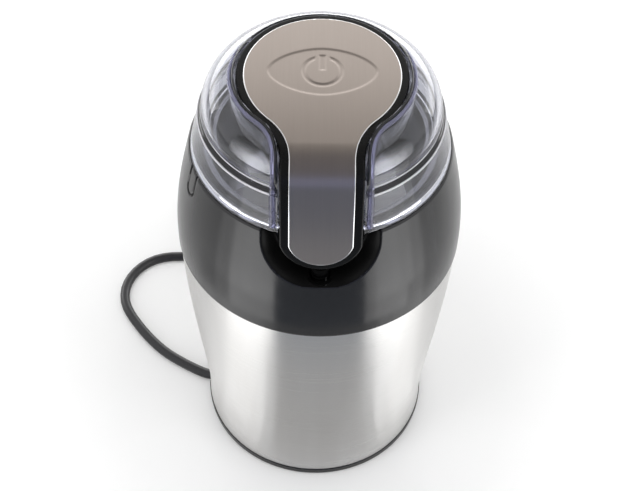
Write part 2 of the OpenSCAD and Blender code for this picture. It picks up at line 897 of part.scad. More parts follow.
module cooling_fan() {
    z = upper_bracket_z - 7.2;
    color("whitesmoke")
    difference() {
        union() {
            rod(6.5, z, z + 3.4);
            rod(fan_r, z, z + 0.9);
            for (a = [0:45:315])
                rotate([0, 0, a])
                    translate([5, 0, z])
                        rotate([0, 0, 18]) box([0, -0.5, 0], [fan_r - 6.2, 0.5, 3.2]);
        }
        rod(shaft_r + 0.02, z - 1, z + 9);
    }
}

module brush_holders() {
    z = lower_bracket_z + brush_z;
    color("darkgoldenrod")
        for (turn = [0, 180])
            rotate([0, 0, turn])
                difference() {
                    box([commutator_r + 1.2, -brush_w / 2, z], [brush_end, brush_w / 2, z + brush_h]);
                    box([0, 1.4 - brush_w / 2, z + 1.2], [brush_end - 1.2, brush_w / 2 - 1.4, z + brush_h - 1.2]);
                }
}

module carbon_brushes() {
    z = lower_bracket_z + brush_z;
    color("black")
        for (turn = [0, 180])
            rotate([0, 0, turn])
                box(
                    [commutator_r + gap, 1.5 - brush_w / 2, z + 1.3],
                    [brush_end - brush_spring_l - 1.4, brush_w / 2 - 1.5, z + brush_h - 1.3]
                );
}

module brush_springs() {
    color("silver")
        for (turn = [0, 180])
            rotate([0, 0, turn])
                translate([brush_end - brush_spring_l - 1.3, 0, lower_bracket_z + brush_z + brush_h / 2])
                    rotate([0, 90, 0]) coil_spring(2, 0.25, brush_spring_l, 3, 10);
}

// ---- Switch ----

module microswitch() {
    y0 = plunger_y - switch_size[1] / 2;
    color([0.15, 0.15, 0.15])
    difference() {
        union() {
            translate([-switch_size[0] / 2, y0, switch_z]) cube(switch_size);
            for (y = [y0, y0 + switch_size[1] - 0.8])
                box([lever_x - 1.2, y, switch_top_z - 1], [lever_x + 1.2, y + 0.8, pin_z + 1]);
            translate([lever_x, y0 + 0.4, pin_z])
                rotate([-90, 0, 0]) cylinder(r = 0.5, h = switch_size[1] - 0.8);
            translate([-3, plunger_y, switch_top_z - 1]) cylinder(r = 1, h = 2.6);
        }
        for (side = [-1, 1])
            translate([side * 4.75, plunger_y + 9, switch_z + 3.5])
                rotate([90, 0, 0]) cylinder(r = 1.1, h = 20);
    }
}

module switch_plate() {
    y = plunger_y + switch_size[1] / 2 + run_gap;
    color("lightgray")
    difference() {
        box([-9, y, switch_z + 0.6], [9, y + 0.6, switch_z + 6.6]);
        for (side = [-1, 1])
            translate([side * 4.75, y + 5, switch_z + 3.5])
                rotate([90, 0, 0]) cylinder(r = 1.1, h = 9);
    }
}

module switch_screws() {
    y = plunger_y + switch_size[1] / 2 + 0.65;
    color("silver")
        for (side = [-1, 1])
            translate([side * 4.75, y, switch_z + 3.5])
                rotate([90, 0, 0]) screw_up(0.98, 1.9, 1, switch_size[1] + 1.9);
}

module switch_lever() {
    y0 = plunger_y - switch_size[1] / 2 + 0.8 + gap;
    width = switch_size[1] - 1.6 - 2 * gap;
    color("lightgray")
        translate([lever_x, y0, pin_z])
            rotate([0, -lever_angle, 0])
                difference() {
                    union() {
                        translate([0, 0, -lever_t / 2]) cube([lever_l, width, lever_t]);
                        rotate([-90, 0, 0]) cylinder(r = 0.85, h = width);
                    }
                    translate([0, -1, 0]) rotate([-90, 0, 0]) cylinder(r = 0.55, h = width + 2);
                }
}

module switch_plunger() {
    color("white")
        translate([0, plunger_y, 0]) {
            rod(plunger_r, plunger_foot_z + 1, plunger_top_z - 1);
            rod(plunger_head_r, plunger_top_z - plunger_head_t, plunger_top_z);
            rod(plunger_r + 0.6, plunger_foot_z, plunger_foot_z + 1.1);
        }
}

module plunger_spring() {
    z0 = counterbore_z + slip;
    color("silver")
        translate([0, plunger_y, z0])
            coil_spring(2.65, 0.3, plunger_top_z - plunger_head_t - slip - z0, 5, 10);
}

// ---- Wiring ----

module terminal_block() {
    color("ivory")
    difference() {
        translate([block_at[0], block_at[1], base_top_z + slip]) cube(block_size);
        for (x = [0.25, 0.75])
            translate([block_at[0] + x * block_size[0], block_at[1] + block_size[1] / 2, base_top_z + 5])
                cylinder(r = 1.8, h = block_size[2]);
    }
}

module suppressor() {
    color("gold")
    difference() {
        translate([suppressor_at[0], suppressor_at[1], base_top_z + slip]) cube(suppressor_size);
        for (x = [-1, suppressor_size[0] - 1])
            translate([suppressor_at[0] + x, suppressor_at[1] - 1, base_top_z + suppressor_size[2] - 0.9])
                cube([2, suppressor_size[1] + 2, 2]);
    }
}

module lead_wires() {
    entry = relief_root_x + slip;
    block_y = block_at[1] + 3.5;
    block_z = base_top_z + 5;
    block_end = block_at[0] + block_size[0];
    brush_mid_z = lower_bracket_z + brush_z + brush_h / 2;
    color("saddlebrown")
        swept_tube(
            [
                [entry, relief_y - 1, relief_z], [-8, relief_y - 1, relief_z],
                [-6.6, relief_y - 1, relief_z + 1], [-6, relief_y - 1, 8],
                [-6.2, relief_y - 1.5, 13], [-10, -10, 19], [-17, -27, 27], [-20, -33, 45],
                [-21, -35, 80], [-18.5, -38.5, switch_z - 5], [-15.5, -42, switch_z + 1],
                [-12, plunger_y, switch_z + 4], [-10.1, plunger_y, switch_z + 4]
            ],
            0.8, 6, [0.8, -0.6, 0.05]
        );
    color("steelblue")
        swept_tube(
            [
                [entry, relief_y + 1, relief_z], [-8, relief_y + 1, relief_z],
                [-6.6, relief_y + 1, relief_z + 1], [-6, relief_y + 1, 8],
                [-6, relief_y + 1.4, 12], [-4.4, 6, 15], [-1.6, block_y - 3.5, block_z],
                [block_at[0] - 2.4, block_y - slip, block_z], [block_at[0] - slip, block_y, block_z]
            ],
            0.8, 6, [0.8, -0.6, 0.05]
        );
    color("steelblue")
        swept_tube(
            [
                [block_end + slip, block_y, block_z], [block_end + 2, block_y, block_z],
                [brush_end + 3.5, block_y - 1.5, block_z + 4],
                [brush_end + 5.5, block_y - 6.5, block_z + 13],
                [brush_end + 5.5, 3, brush_mid_z - 7.5], [brush_end + 4, 0, brush_mid_z - 2],
                [brush_end + 2, 0, brush_mid_z], [brush_end + slip, 0, brush_mid_z]
            ],
            0.8, 6, [0.3, 1, 0.05]
        );
}

// ---- Cord and plug ----

module power_cord() {
    color([0.07, 0.07, 0.07]) swept_tube(lead_route, cord_r, 8);
}

module cord_tail() {
    color([0.07, 0.07, 0.07]) swept_tube(tail_route, cord_r, 8);
}

module cord_coil() {
    color([0.07, 0.07, 0.07])
        translate([coil_x, coil_y, tie_t + slip])
            rotate_extrude()
                translate([coil_inner - cord_r - slip, 0])
                    square([coil_outer - coil_inner + cord_d + 2 * slip, 2 * cord_d + 2 * slip]);
}

module cord_tie() {
    inner = coil_inner - cord_r - 0.5;
    outer = coil_outer + cord_r + 0.3;
    top = 2 * cord_d + tie_t + 4 * slip;
    color("darkgray")
        translate([coil_x, coil_y, 0])
            difference() {
                box([-tie_w / 2, inner - tie_t, 0], [tie_w / 2, outer + tie_t, top + tie_t]);
                box([-tie_w, inner, tie_t], [tie_w, outer, top]);
            }
}

module plug_body() {
    x0 = plug_relief;
    x1 = plug_relief + plug_length;
    color([0.07, 0.07, 0.07])
        translate([plug_x, plug_y, plug_z]) {
            rotate([0, 90, 0])
                rotate_extrude()
                    polygon([[0, 0], [cord_r + 0.5, 0], [4.4, x0 + 1], [0, x0 + 1]]);
            translate([0, 0, -6.7])
                linear_extrude(13.4)
                    polygon([
                        [x0, -5], [x0 + 3, -8], [x0 + 14, -plug_w / 2], [x1 - 6, -plug_w / 2],
                        [x1, -plug_w / 2 + 2.5], [x1, plug_w / 2 - 2.5], [x1 - 6, plug_w / 2],
                        [x0 + 14, plug_w / 2], [x0 + 3, 8], [x0, 5]
                    ]);
        }
}

module plug_pins() {
    x1 = plug_relief + plug_length + run_gap;
    color("silver")
        for (side = [-1, 1])
            translate([plug_x + x1, plug_y + side * pin_spacing / 2, plug_z])
                rotate([0, 90, 0]) {
                    cylinder(r = pin_r, h = pin_length - 1);
                    translate([0, 0, pin_length - 1.5]) cylinder(r = pin_r - 0.4, h = 1.5);
                }
}

// ---- Lid and button ----

module lid_dome() {
    fillet = button_fillet_r - button_gap;
    drop = travel + gap;
    depth = button_t + gap;
    color([0.85, 0.87, 0.95, 0.4])
    difference() {
        union() {
            difference() {
                rotate_extrude() polygon(concat(lid_curve(0), [[0, lid_z]]));
                rotate_extrude()
                    polygon(concat(
                        [[lid_foot_r - lid_t - 1.8, lid_z - 1], [lid_foot_r - lid_t - 1.8, lid_z + lid_foot_h]],
                        [for (p = lid_curve(lid_t)) if (p[1] > lid_z + lid_foot_h) p],
                        [[0, lid_z - 1]]
                    ));
            }
            intersection() {
                rotate_extrude() polygon(concat(lid_curve(0), [[0, lid_z]]));
                keyhole_prism(
                    button_r + button_gap + well_wall, tongue_w / 2 + button_gap + well_wall,
                    fillet - well_wall
                );
                outside_curve(lowered(button_curve(depth + well_wall), drop));
            }
            rod(spring_cup_r + well_wall, spring_cup_z - well_wall, button_top_z - 9);
        }
        intersection() {
            keyhole_prism(button_r + button_gap, tongue_w / 2 + button_gap, fillet);
            outside_curve(lowered(button_curve(depth), drop));
        }
        ring(spring_cup_r, post_r, spring_cup_z, button_top_z + 9);
        rod(post_r + 1, button_top_z - 8 - travel, button_top_z + 9);
    }
}

module button_frame() {
    color([0.06, 0.06, 0.06])
    difference() {
        union() {
            intersection() {
                keyhole_prism(button_r, tongue_w / 2, button_fillet_r);
                button_layer(plate_proud, button_t);
                tip_outline(tongue_w / 2, frame_tip_z);
            }
            rod(guide_r, spring_cup_z + travel + gap, button_top_z - button_t);
            rod(spring_cup_r - 0.7, spring_seat_z, button_top_z - button_t);
        }
        intersection() {
            keyhole_prism(plate_r + slip, plate_tongue_w / 2 + slip, plate_fillet_r - slip);
            button_layer(-1, plate_t + slip);
            tip_outline(plate_tongue_w / 2 + slip, tip_z - slip);
        }
        rod(post_r + run_gap * 2, spring_cup_z, button_top_z - button_t - 1);
    }
}

module power_symbol() {
    difference() {
        circle(r = symbol_r);
        circle(r = symbol_r - 1.4);
        translate([-2.4, 0]) square([4.8, symbol_r + 1]);
    }
    translate([-1.1, 0.4]) square([2.2, symbol_r - 0.2]);
}

module button_plate() {
    eye_arc_r = (pow(eye_length, 2) + pow(eye_height, 2)) / (2 * eye_height);
    color([0.66, 0.61, 0.58])
        union() {
            difference() {
                intersection() {
                    keyhole_prism(plate_r, plate_tongue_w / 2, plate_fillet_r);
                    button_layer(0, plate_t);
                    tip_outline(plate_tongue_w / 2, tip_z);
                }
                intersection() {
                    button_layer(-1, plate_t * 0.375);
                    translate([0, 1, 100])
                        linear_extrude(120)
                            intersection() {
                                translate([0, eye_height - eye_arc_r]) circle(r = eye_arc_r);
                                translate([0, eye_arc_r - eye_height]) circle(r = eye_arc_r);
                            }
                }
                translate([0, 1.2, 100]) linear_extrude(120) power_symbol();
            }
            // The engraved symbol's floor
            intersection() {
                button_layer(plate_t * 0.675, plate_t);
                translate([0, 1.2, 100]) linear_extrude(120) power_symbol();
            }
        }
}

module button_spring() {
    z0 = spring_cup_z + slip;
    color("silver")
        translate([0, 0, z0]) coil_spring(7.8, 0.45, spring_seat_z - slip - z0, 5, 14);
}

base_cover();
rubber_feet();
base_screws();
body_liner();
steel_sleeve();
upper_housing();
housing_screws();
grinding_bowl();
shaft_seal();
upper_bracket();
upper_bearing();
motor_mounts();
mount_screws();
stator_core();
stator_coils();
motor_bolts();
lower_bracket();
lower_bearing();
brush_holders();
carbon_brushes();
brush_springs();
microswitch();
switch_plate();
switch_screws();
terminal_block();
suppressor();
lead_wires();
cord_clamp();
clamp_screws();
strain_relief();
power_cord();
cord_coil();
cord_tail();
cord_tie();
plug_body();
plug_pins();
drive_shaft();
rotor_core();
rotor_coils();
commutator();
cooling_fan();
blade_hub();
grinding_blade();
blade_nut();
lid_dome();
button_spring();
button_frame();
button_plate();
switch_plunger();
plunger_spring();
switch_lever();
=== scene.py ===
# Looks of the electric blade grinder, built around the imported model. Sizes are in millimetres and
# become metres where a mesh or a curve is made. The front is -Y and +Z is up.
import json
import math

import bmesh
import bpy
import numpy as np
from mathutils import Matrix, Vector


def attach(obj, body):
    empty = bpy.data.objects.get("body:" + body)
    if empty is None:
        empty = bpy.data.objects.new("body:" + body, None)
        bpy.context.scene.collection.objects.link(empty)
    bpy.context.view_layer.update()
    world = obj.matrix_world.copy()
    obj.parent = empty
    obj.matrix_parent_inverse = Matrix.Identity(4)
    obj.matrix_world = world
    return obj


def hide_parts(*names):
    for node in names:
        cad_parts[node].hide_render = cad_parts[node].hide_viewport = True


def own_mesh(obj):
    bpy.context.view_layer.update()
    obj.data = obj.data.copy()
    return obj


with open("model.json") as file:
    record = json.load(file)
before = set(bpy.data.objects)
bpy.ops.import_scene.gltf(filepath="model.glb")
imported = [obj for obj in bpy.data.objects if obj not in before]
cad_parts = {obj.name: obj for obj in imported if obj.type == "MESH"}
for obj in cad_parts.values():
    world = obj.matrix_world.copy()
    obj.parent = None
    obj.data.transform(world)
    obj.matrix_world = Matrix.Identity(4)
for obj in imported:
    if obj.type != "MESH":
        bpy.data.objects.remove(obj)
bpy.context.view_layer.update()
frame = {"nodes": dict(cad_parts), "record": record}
nodes = frame["nodes"]


MM = 0.001

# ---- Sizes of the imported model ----

BASE_R, WAIST_R, WAIST_Z = 44.3, 43.8, 16.0
SEAM_R, SEAM_Z, FLARE = 50.1, 104.0, 1.25
SLEEVE_T, SLEEVE_Z = 0.6, 3.6
HOUSE_R, RIM_R, RIM_Z, PEAK_Z = 50.7, 44.6, 147.5, 107.7
HOUSE_T, SPIGOT_R, SPIGOT_Z = 2.2, 49.25, 97.5
RECESS_W, RECESS_Z, RECESS_CORNER, RECESS_BACK = 35.0, 130.2, 13.5, 40.2
CUP_R, CUP_T, CUP_Z, CUP_TOP_Z, DECK_T = 37.4, 1.6, 110.5, 113.1, 2.4
BOWL_R, BOWL_Z, BOWL_T, BOWL_CORNER = 37.0, 113.4, 0.8, 12.0
LID_Z, LID_STEP_Z, LID_TOP_Z, LID_T = 147.8, 160.6, 179.3, 2.0
LID_FOOT_R, LID_BAND_R, LID_DOME_R = 44.0, 41.0, 39.7
BUTTON_R, TONGUE_HALF, BUTTON_FILLET, BUTTON_T = 27.9, 13.2, 17.5, 3.4
PLATE_R, PLATE_HALF, PLATE_FILLET, PLATE_T = 25.5, 10.4, 20.0, 0.8
PLATE_PROUD, BUTTON_TOP_Z, BUTTON_BACK_Y = 0.5, 178.6, 28.4
TIP_Z, FRAME_TIP_Z, TIP_ROUND = 137.6, 135.4, 1.05
EYE_LENGTH, EYE_HEIGHT, EYE_POWER, SYMBOL_R = 17.6, 10.0, 1.75, 6.8
PLUNGER_Y, CORD_R = -43.8, 2.1


def smooth(t):
    t = np.clip(t, 0.0, 1.0)
    return t * t * (3.0 - 2.0 * t)


def steel_radius(z):
    z = np.asarray(z, float)
    low = WAIST_R + (BASE_R - 0.3 - WAIST_R) * (np.clip(WAIST_Z - z, 0, None) / (WAIST_Z - SLEEVE_Z)) ** 2
    share = np.clip((z - WAIST_Z) / (SEAM_Z - WAIST_Z), 0, 1) ** FLARE
    high = WAIST_R + (SEAM_R - WAIST_R) * np.sin(np.pi / 2 * share)
    return np.where(z < WAIST_Z, low, high)


def housing_radius(z):
    z = np.asarray(z, float)
    share = np.clip((z - PEAK_Z) / (RIM_Z - PEAK_Z), 0, 1)
    return RIM_R + (HOUSE_R - RIM_R) * np.cos(np.pi / 2 * share)


# ---- Meshes ----

def clean_mesh(name, points, faces):
    """A mesh object from points in millimetres, with its faces turned outwards."""
    data = bpy.data.meshes.new(name)
    data.from_pydata([tuple(p) for p in np.asarray(points, float) * MM], [], faces)
    work = bmesh.new()
    work.from_mesh(data)
    bmesh.ops.remove_doubles(work, verts=work.verts, dist=1e-6)
    bmesh.ops.recalc_face_normals(work, faces=work.faces)
    work.to_mesh(data)
    work.free()
    data.validate()
    piece = bpy.data.objects.new(name, data)
    bpy.context.scene.collection.objects.link(piece)
    return piece


def soften(piece, degrees=32):
    """Smooth shading with creases where faces meet at more than the given angle."""
    piece.data.shade_smooth()
    piece.data.set_sharp_from_angle(angle=math.radians(degrees))
    return piece


def ring_faces(rings, sides, closed=False):
    """Quads between rings of points; closed joins the last ring to the first."""
    faces = []
    for k in range(rings if closed else rings - 1):
        n = (k + 1) % rings
        for i in range(sides):
            j = (i + 1) % sides
            faces.append((k * sides + i, k * sides + j, n * sides + j, n * sides + i))
    return faces


def lathe(name, profile, sides, closed=True):
    """A profile of (radius, z) turned about the Z axis; a point on the axis is one point of the mesh."""
    angles = np.linspace(0, 2 * np.pi, sides, endpoint=False)
    points = []
    rings = []
    for radius, z in profile:
        start = len(points)
        if radius < 1e-6:
            points.append((0.0, 0.0, z))
            rings.append([start] * sides)
        else:
            points += [(radius * math.cos(a), radius * math.sin(a), z) for a in angles]
            rings.append(list(range(start, start + sides)))
    faces = []
    for k in range(len(profile) if closed else len(profile) - 1):
        low, high = rings[k], rings[(k + 1) % len(profile)]
        if low[0] == low[1] and high[0] == high[1]:
            continue
        for i in range(sides):
            j = (i + 1) % sides
            corners_found = []
            for corner in (low[i], low[j], high[j], high[i]):
                if corner not in corners_found:
                    corners_found.append(corner)
            faces.append(tuple(corners_found))
    return clean_mesh(name, points, faces)


def cut(piece, other):
    """Cuts other out of piece and removes it."""
    step = piece.modifiers.new("cut", "BOOLEAN")
    step.operation = "DIFFERENCE"
    step.solver = "EXACT"
    step.object = other
    graph = bpy.context.evaluated_depsgraph_get()
    result = bpy.data.meshes.new_from_object(piece.evaluated_get(graph))
    piece.modifiers.clear()
    piece.data = result
    bpy.data.objects.remove(other, do_unlink=True)


def dress(piece, body, material, slot, *replaced):
    """Gives a piece its material and its body, and hides the CAD nodes that it stands for; the slot is not
    used.
    """
    piece.data.materials.clear()
    piece.data.materials.append(material)
    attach(piece, body)
    if replaced:
        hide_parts(*replaced)


# ---- Materials ----

class Shader:
    """A material's node tree with short calls for the nodes that the looks use."""

    def __init__(self, name):
        self.material = bpy.data.materials.new(name)
        self.material.use_nodes = True
        self.tree = self.material.node_tree
        self.main = self.tree.nodes["Principled BSDF"]
        self.place = self.add("ShaderNodeTexCoord")

    def add(self, kind):
        return self.tree.nodes.new(kind)

    def link(self, source, target):
        self.tree.links.new(source, target)

    def noise(self, stretch, scale, detail=3.0):
        """Noise of the object's own coordinates, in lumps of 1 / scale metres."""
        mapping = self.add("ShaderNodeMapping")
        mapping.inputs["Scale"].default_value = stretch
        self.link(self.place.outputs["Object"], mapping.inputs["Vector"])
        texture = self.add("ShaderNodeTexNoise")
        texture.inputs["Scale"].default_value = scale
        texture.inputs["Detail"].default_value = detail
        self.link(mapping.outputs["Vector"], texture.inputs["Vector"])
        return texture.outputs["Fac"]

    def spread(self, value, low, high):
        """Maps noise from its usual span to low..high."""
        ramp = self.add("ShaderNodeMapRange")
        ramp.inputs["From Min"].default_value = 0.3
        ramp.inputs["From Max"].default_value = 0.7
        ramp.inputs["To Min"].default_value = low
        ramp.inputs["To Max"].default_value = high
        self.link(value, ramp.inputs["Value"])
        return ramp.outputs["Result"]

    def tint(self, value, first, second):
        """A colour between two, by a value."""
        mix = self.add("ShaderNodeMix")
        mix.data_type = "RGBA"
        mix.inputs[6].default_value = (*first, 1)
        mix.inputs[7].default_value = (*second, 1)
        self.link(value, mix.inputs[0])
        self.link(mix.outputs[2], self.main.inputs["Base Color"])

    def bump(self, value, height, strength=0.5):
        node = self.add("ShaderNodeBump")
        node.inputs["Distance"].default_value = height
        node.inputs["Strength"].default_value = strength
        self.link(value, node.inputs["Height"])
        self.link(node.outputs["Normal"], self.main.inputs["Normal"])

    def rough(self, value):
        self.link(value, self.main.inputs["Roughness"])

    def math(self, operation, first, second):
        """An operation on two values, each a node's output or a number."""
        node = self.add("ShaderNodeMath")
        node.operation = operation
        for k, value in enumerate((first, second)):
            if isinstance(value, (int, float)):
                node.inputs[k].default_value = value
            else:
                self.link(value, node.inputs[k])
        return node.outputs[0]

    def set(self, **values):
        for key, value in values.items():
            self.main.inputs[key.replace("_", " ")].default_value = value


def shade(a, b=None):
    return (a, a, a) if b is None else (a, a, b)


def plastic(name, low, high, rough_low, rough_high, grain, height, **extra):
    s = Shader(name)
    value = s.noise((1, 1, 1), grain)
    s.tint(s.spread(value, 0, 1), low, high)
    s.rough(s.spread(s.noise((1, 1, 1), grain / 6), rough_low, rough_high))
    s.bump(value, height, 0.4)
    s.set(**extra)
    return s.material


def metal(name, low, high, rough_low, rough_high, stretch, grain, height, **extra):
    s = Shader(name)
    value = s.noise(stretch, grain)
    s.tint(s.spread(value, 0, 1), low, high)
    s.rough(s.spread(s.noise(stretch, grain / 3), rough_low, rough_high))
    s.bump(value, height, 0.35)
    s.set(Metallic=1.0, **extra)
    return s.material


def sleeve_steel():
    """Satin steel brushed round the body, with faint upright bands."""
    s = Shader("sleeve_steel")
    bands = s.noise((60, 60, 1.5), 1.0, 4)
    s.tint(s.spread(bands, 0, 1), (0.70, 0.69, 0.675), (0.77, 0.765, 0.755))
    lines = s.noise((8, 8, 5200), 1.0, 2)
    s.rough(s.spread(lines, 0.27, 0.36))
    s.bump(lines, 0.000006, 0.35)
    s.set(Metallic=1.0, Anisotropic=0.75, Anisotropic_Rotation=0.25)
    tangent = s.add("ShaderNodeTangent")
    tangent.direction_type = "RADIAL"
    tangent.axis = "Z"
    s.link(tangent.outputs["Tangent"], s.main.inputs["Tangent"])
    return s.material


def clear_plastic(name, colour, rough, clear=1.0, ior=1.49):
    s = Shader(name)
    s.rough(s.spread(s.noise((1, 1, 1), 300), rough, rough + 0.02))
    s.bump(s.noise((1, 1, 1), 90, 1), 0.00001, 0.1)
    s.set(Base_Color=(*colour, 1), Transmission_Weight=clear, IOR=ior)
    return s.material


# A plastic or metal has its two colours, its lowest and highest roughness, a metal then how its grain
# is stretched, and last the grain's lumps per metre and its bump in metres.
EVEN = (1, 1, 1)  # a grain that is the same in all directions
MATERIALS = {
    "black_plastic": plastic("black_plastic", shade(0.010, 0.011), shade(0.014, 0.016), 0.15, 0.21, 900,
                             0.00001),
    "black_satin": plastic("black_satin", shade(0.004), shade(0.006), 0.24, 0.32, 1600, 0.00001,
                           Specular_IOR_Level=0.2),
    "liner_plastic": plastic("liner_plastic", shade(0.30), shade(0.36), 0.5, 0.6, 1500, 0.00003),
    "white_plastic": plastic("white_plastic", shade(0.78, 0.74), shade(0.84, 0.80), 0.4, 0.5, 1500, 0.00002),
    "rubber_black": plastic("rubber_black", shade(0.02), shade(0.035), 0.6, 0.75, 2200, 0.00004),
    "film_plastic": plastic("film_plastic", (0.6, 0.4, 0.05), (0.7, 0.48, 0.08), 0.35, 0.45, 1200, 0.00002),
    "wire_insulation": plastic("wire_insulation", (0.2, 0.1, 0.05), (0.26, 0.14, 0.07), 0.4, 0.5, 1500,
                               0.00001),
    "cord_sheath": plastic("cord_sheath", shade(0.013, 0.015), shade(0.02, 0.022), 0.30, 0.42, 1800, 0.00002),
    "tie_plastic": plastic("tie_plastic", shade(0.02), shade(0.03), 0.4, 0.5, 1500, 0.00002),
    "carbon": plastic("carbon", shade(0.03), shade(0.06), 0.5, 0.7, 3000, 0.00003),
    "steel_polished": metal("steel_polished", shade(0.66), shade(0.72), 0.10, 0.18, (1, 1, 6), 300, 0.000004),
    "screw_steel": metal("screw_steel", shade(0.5), shade(0.6), 0.25, 0.38, EVEN, 900, 0.00001),
    "spring_steel": metal("spring_steel", shade(0.45), shade(0.55), 0.2, 0.32, EVEN, 1200, 0.000006),
    "laminated_steel": metal("laminated_steel", shade(0.22), shade(0.32), 0.4, 0.55, (1, 1, 90), 20, 0.00004),
    "copper_wire": metal("copper_wire", (0.55, 0.22, 0.1), (0.68, 0.3, 0.14), 0.25, 0.4, (1, 1, 40), 40,
                         0.00008),
    "bronze": metal("bronze", (0.55, 0.38, 0.18), (0.64, 0.46, 0.24), 0.35, 0.5, EVEN, 2200, 0.00002),
    "brass": metal("brass", (0.68, 0.5, 0.2), (0.76, 0.58, 0.26), 0.2, 0.32, EVEN, 700, 0.000008),
    "zinc_casting": metal("zinc_casting", shade(0.48), shade(0.58), 0.4, 0.55, EVEN, 1400, 0.00004),
    "pin_metal": metal("pin_metal", (0.7, 0.68, 0.62), (0.78, 0.76, 0.7), 0.12, 0.2, EVEN, 500, 0.000004),
    "plate_steel": metal("plate_steel", (0.485, 0.424, 0.382), (0.500, 0.438, 0.396), 0.30, 0.34,
                         (30, 1, 1), 60, 0.0000006),
    # The bowl's steel is darkened to about half the polished steel's colour, a painted shade for the inside
    # of the closed lid.
    "bowl_steel_painted_shade": metal("bowl_steel_painted_shade", shade(0.32, 0.34), shade(0.35, 0.37), 0.23, 0.27, (1, 1, 3), 60,
                        0.0000005),
    # The blade's satin roughness is its own. Its colour is darker than the polished steel, a painted shade
    # for the blade deep in the bowl.
    "blade_steel_and_painted_shade": metal("blade_steel_and_painted_shade", shade(0.40), shade(0.46), 0.34, 0.42, (1, 14, 1), 60, 0.000002),
    # A darker black with little gloss: painted shade for the faces inside the front recess and in the groove
    # round the side lug.
    "recess_painted_shade": plastic("recess_painted_shade", shade(0.0025), shade(0.004), 0.30, 0.40, 1600, 0.00001,
                            Specular_IOR_Level=0.10),
    "plate_edge": metal("plate_edge", shade(0.85), shade(0.9), 0.06, 0.1, EVEN, 500, 0.000002),
    "steel_brushed": sleeve_steel(),
    "clear_plastic": clear_plastic("clear_lid", (0.88, 0.89, 0.95), 0.02),
    "clear_band": clear_plastic("clear_band", (0.74, 0.75, 0.81), 0.02, 0.98, 1.42),
    # A dark smoky clear: painted shade for the line along the well's edge and for the groove line along the
    # lid's step.
    "clear_painted_shade": clear_plastic("clear_painted_shade", (0.04, 0.04, 0.05), 0.12),
    "clear_lip": clear_plastic("clear_lip", (0.62, 0.62, 0.88), 0.03, 0.92),
    # A frosted white: painted highlights for the two thin lines either side of the lid's step.
    "frosted_painted_highlight": clear_plastic("frosted_painted_highlight", (0.92, 0.92, 0.97), 0.15, 0.25),
    # The darkest black with almost no gloss: painted shade for the plunger's bore, its guide, the switch
    # plunger and the plunger's spring under the tongue.
    "hole_painted_shade": plastic("hole_painted_shade", shade(0.001), shade(0.002), 0.7, 0.9, 1600, 0.00001,
                          Specular_IOR_Level=0.05),
}

# ---- Camera, at the photograph's angle ----

FOCAL_PIXELS, IMAGE_WIDTH, SENSOR_WIDTH = 1266.14, 640.0, 36.0
CAMERA_PLACE, CAMERA_ELEVATION, CAMERA_TURN, CAMERA_ROLL = (0.673, -300.36, 453.02), 50.28, -1.2, 1.572


def set_camera():
    lens_camera = bpy.data.cameras.new("camera")
    lens_camera.sensor_fit = "HORIZONTAL"
    lens_camera.sensor_width = SENSOR_WIDTH
    lens_camera.lens = FOCAL_PIXELS * SENSOR_WIDTH / IMAGE_WIDTH
    lens_camera.clip_start = 0.01
    lens_camera.clip_end = 20.0
    holder = bpy.data.objects.new("camera", lens_camera)
    bpy.context.scene.collection.objects.link(holder)
    elevation = math.radians(CAMERA_ELEVATION)
    forward = Vector((0, math.cos(elevation), -math.sin(elevation)))
    right = Vector((1, 0, 0))
    up = right.cross(forward)
    axes = Matrix((right, up, -forward)).transposed()
    turn = Matrix.Rotation(math.radians(CAMERA_TURN), 4, "Z")
    roll = Matrix.Rotation(math.radians(CAMERA_ROLL), 4, "Z")
    place = Matrix.Translation(Vector(CAMERA_PLACE) * MM)
    holder.matrix_world = turn @ place @ axes.to_4x4() @ roll
    bpy.context.scene.camera = holder


set_camera()

# ---- Cord, strain relief and plug ----

LEAD = [
    (-35, 1, 4.6), (-36.5, 1, 4.6), (-38.5, 1.1, 4), (-41, 1.4, 3.1), (-44, 2, 2.4),
    (-47.5, 3.2, 2.1), (-53, 6, 2.1), (-58, 9, 2.1), (-63, 12.4, 2.1), (-68, 16.8, 2.1),
    (-73, 22.2, 2.1), (-77.5, 28, 2.1), (-81.5, 34, 2.1), (-84.3, 40.4, 2.1), (-84.9, 47.5, 2.1),
    (-83, 54.5, 2.1), (-78.8, 60.5, 2.1), (-72.9, 64.7, 2.1), (-65.6, 66.6, 2.1),
    (-56, 66.7, 2.2), (-47, 66.7, 2.6), (-40, 66.7, 2.9),
]
COIL_X, COIL_Y, COIL_OUTER, COIL_INNER = -28.0, 96.2, 29.5, 20.0
COIL_TURNS, CLIMB_TURNS, LOW_Z, HIGH_Z = 2.25, 0.5, 2.9, 7.1
GROOVE_DEPTH = 0.45
TAIL = [(-16, 66.7, 7), (-12, 66.7, 6.9), (-8, 66.7, 6.9)]
PLUG_X, PLUG_Y, PLUG_Z = -8.0, 66.7, 6.9


def coil_points():
    """COIL_TURNS inwards on the floor, CLIMB_TURNS up, and COIL_TURNS outwards on top."""
    points = []
    climbed = COIL_TURNS + CLIMB_TURNS
    total, steps = climbed + COIL_TURNS, 200
    for k in range(steps + 1):
        turn = total * k / steps
        radius = COIL_OUTER - (COIL_OUTER - COIL_INNER) * min(turn / COIL_TURNS, 1.0)
        if turn > climbed:
            radius = COIL_INNER + (COIL_OUTER - COIL_INNER) * (turn - climbed) / COIL_TURNS
        z = LOW_Z + (HIGH_Z - LOW_Z) * float(smooth((turn - COIL_TURNS) / CLIMB_TURNS))
        angle = -math.pi / 2 + 2 * math.pi * turn
        points.append((COIL_X + radius * math.cos(angle), COIL_Y + radius * math.sin(angle), z))
    return points


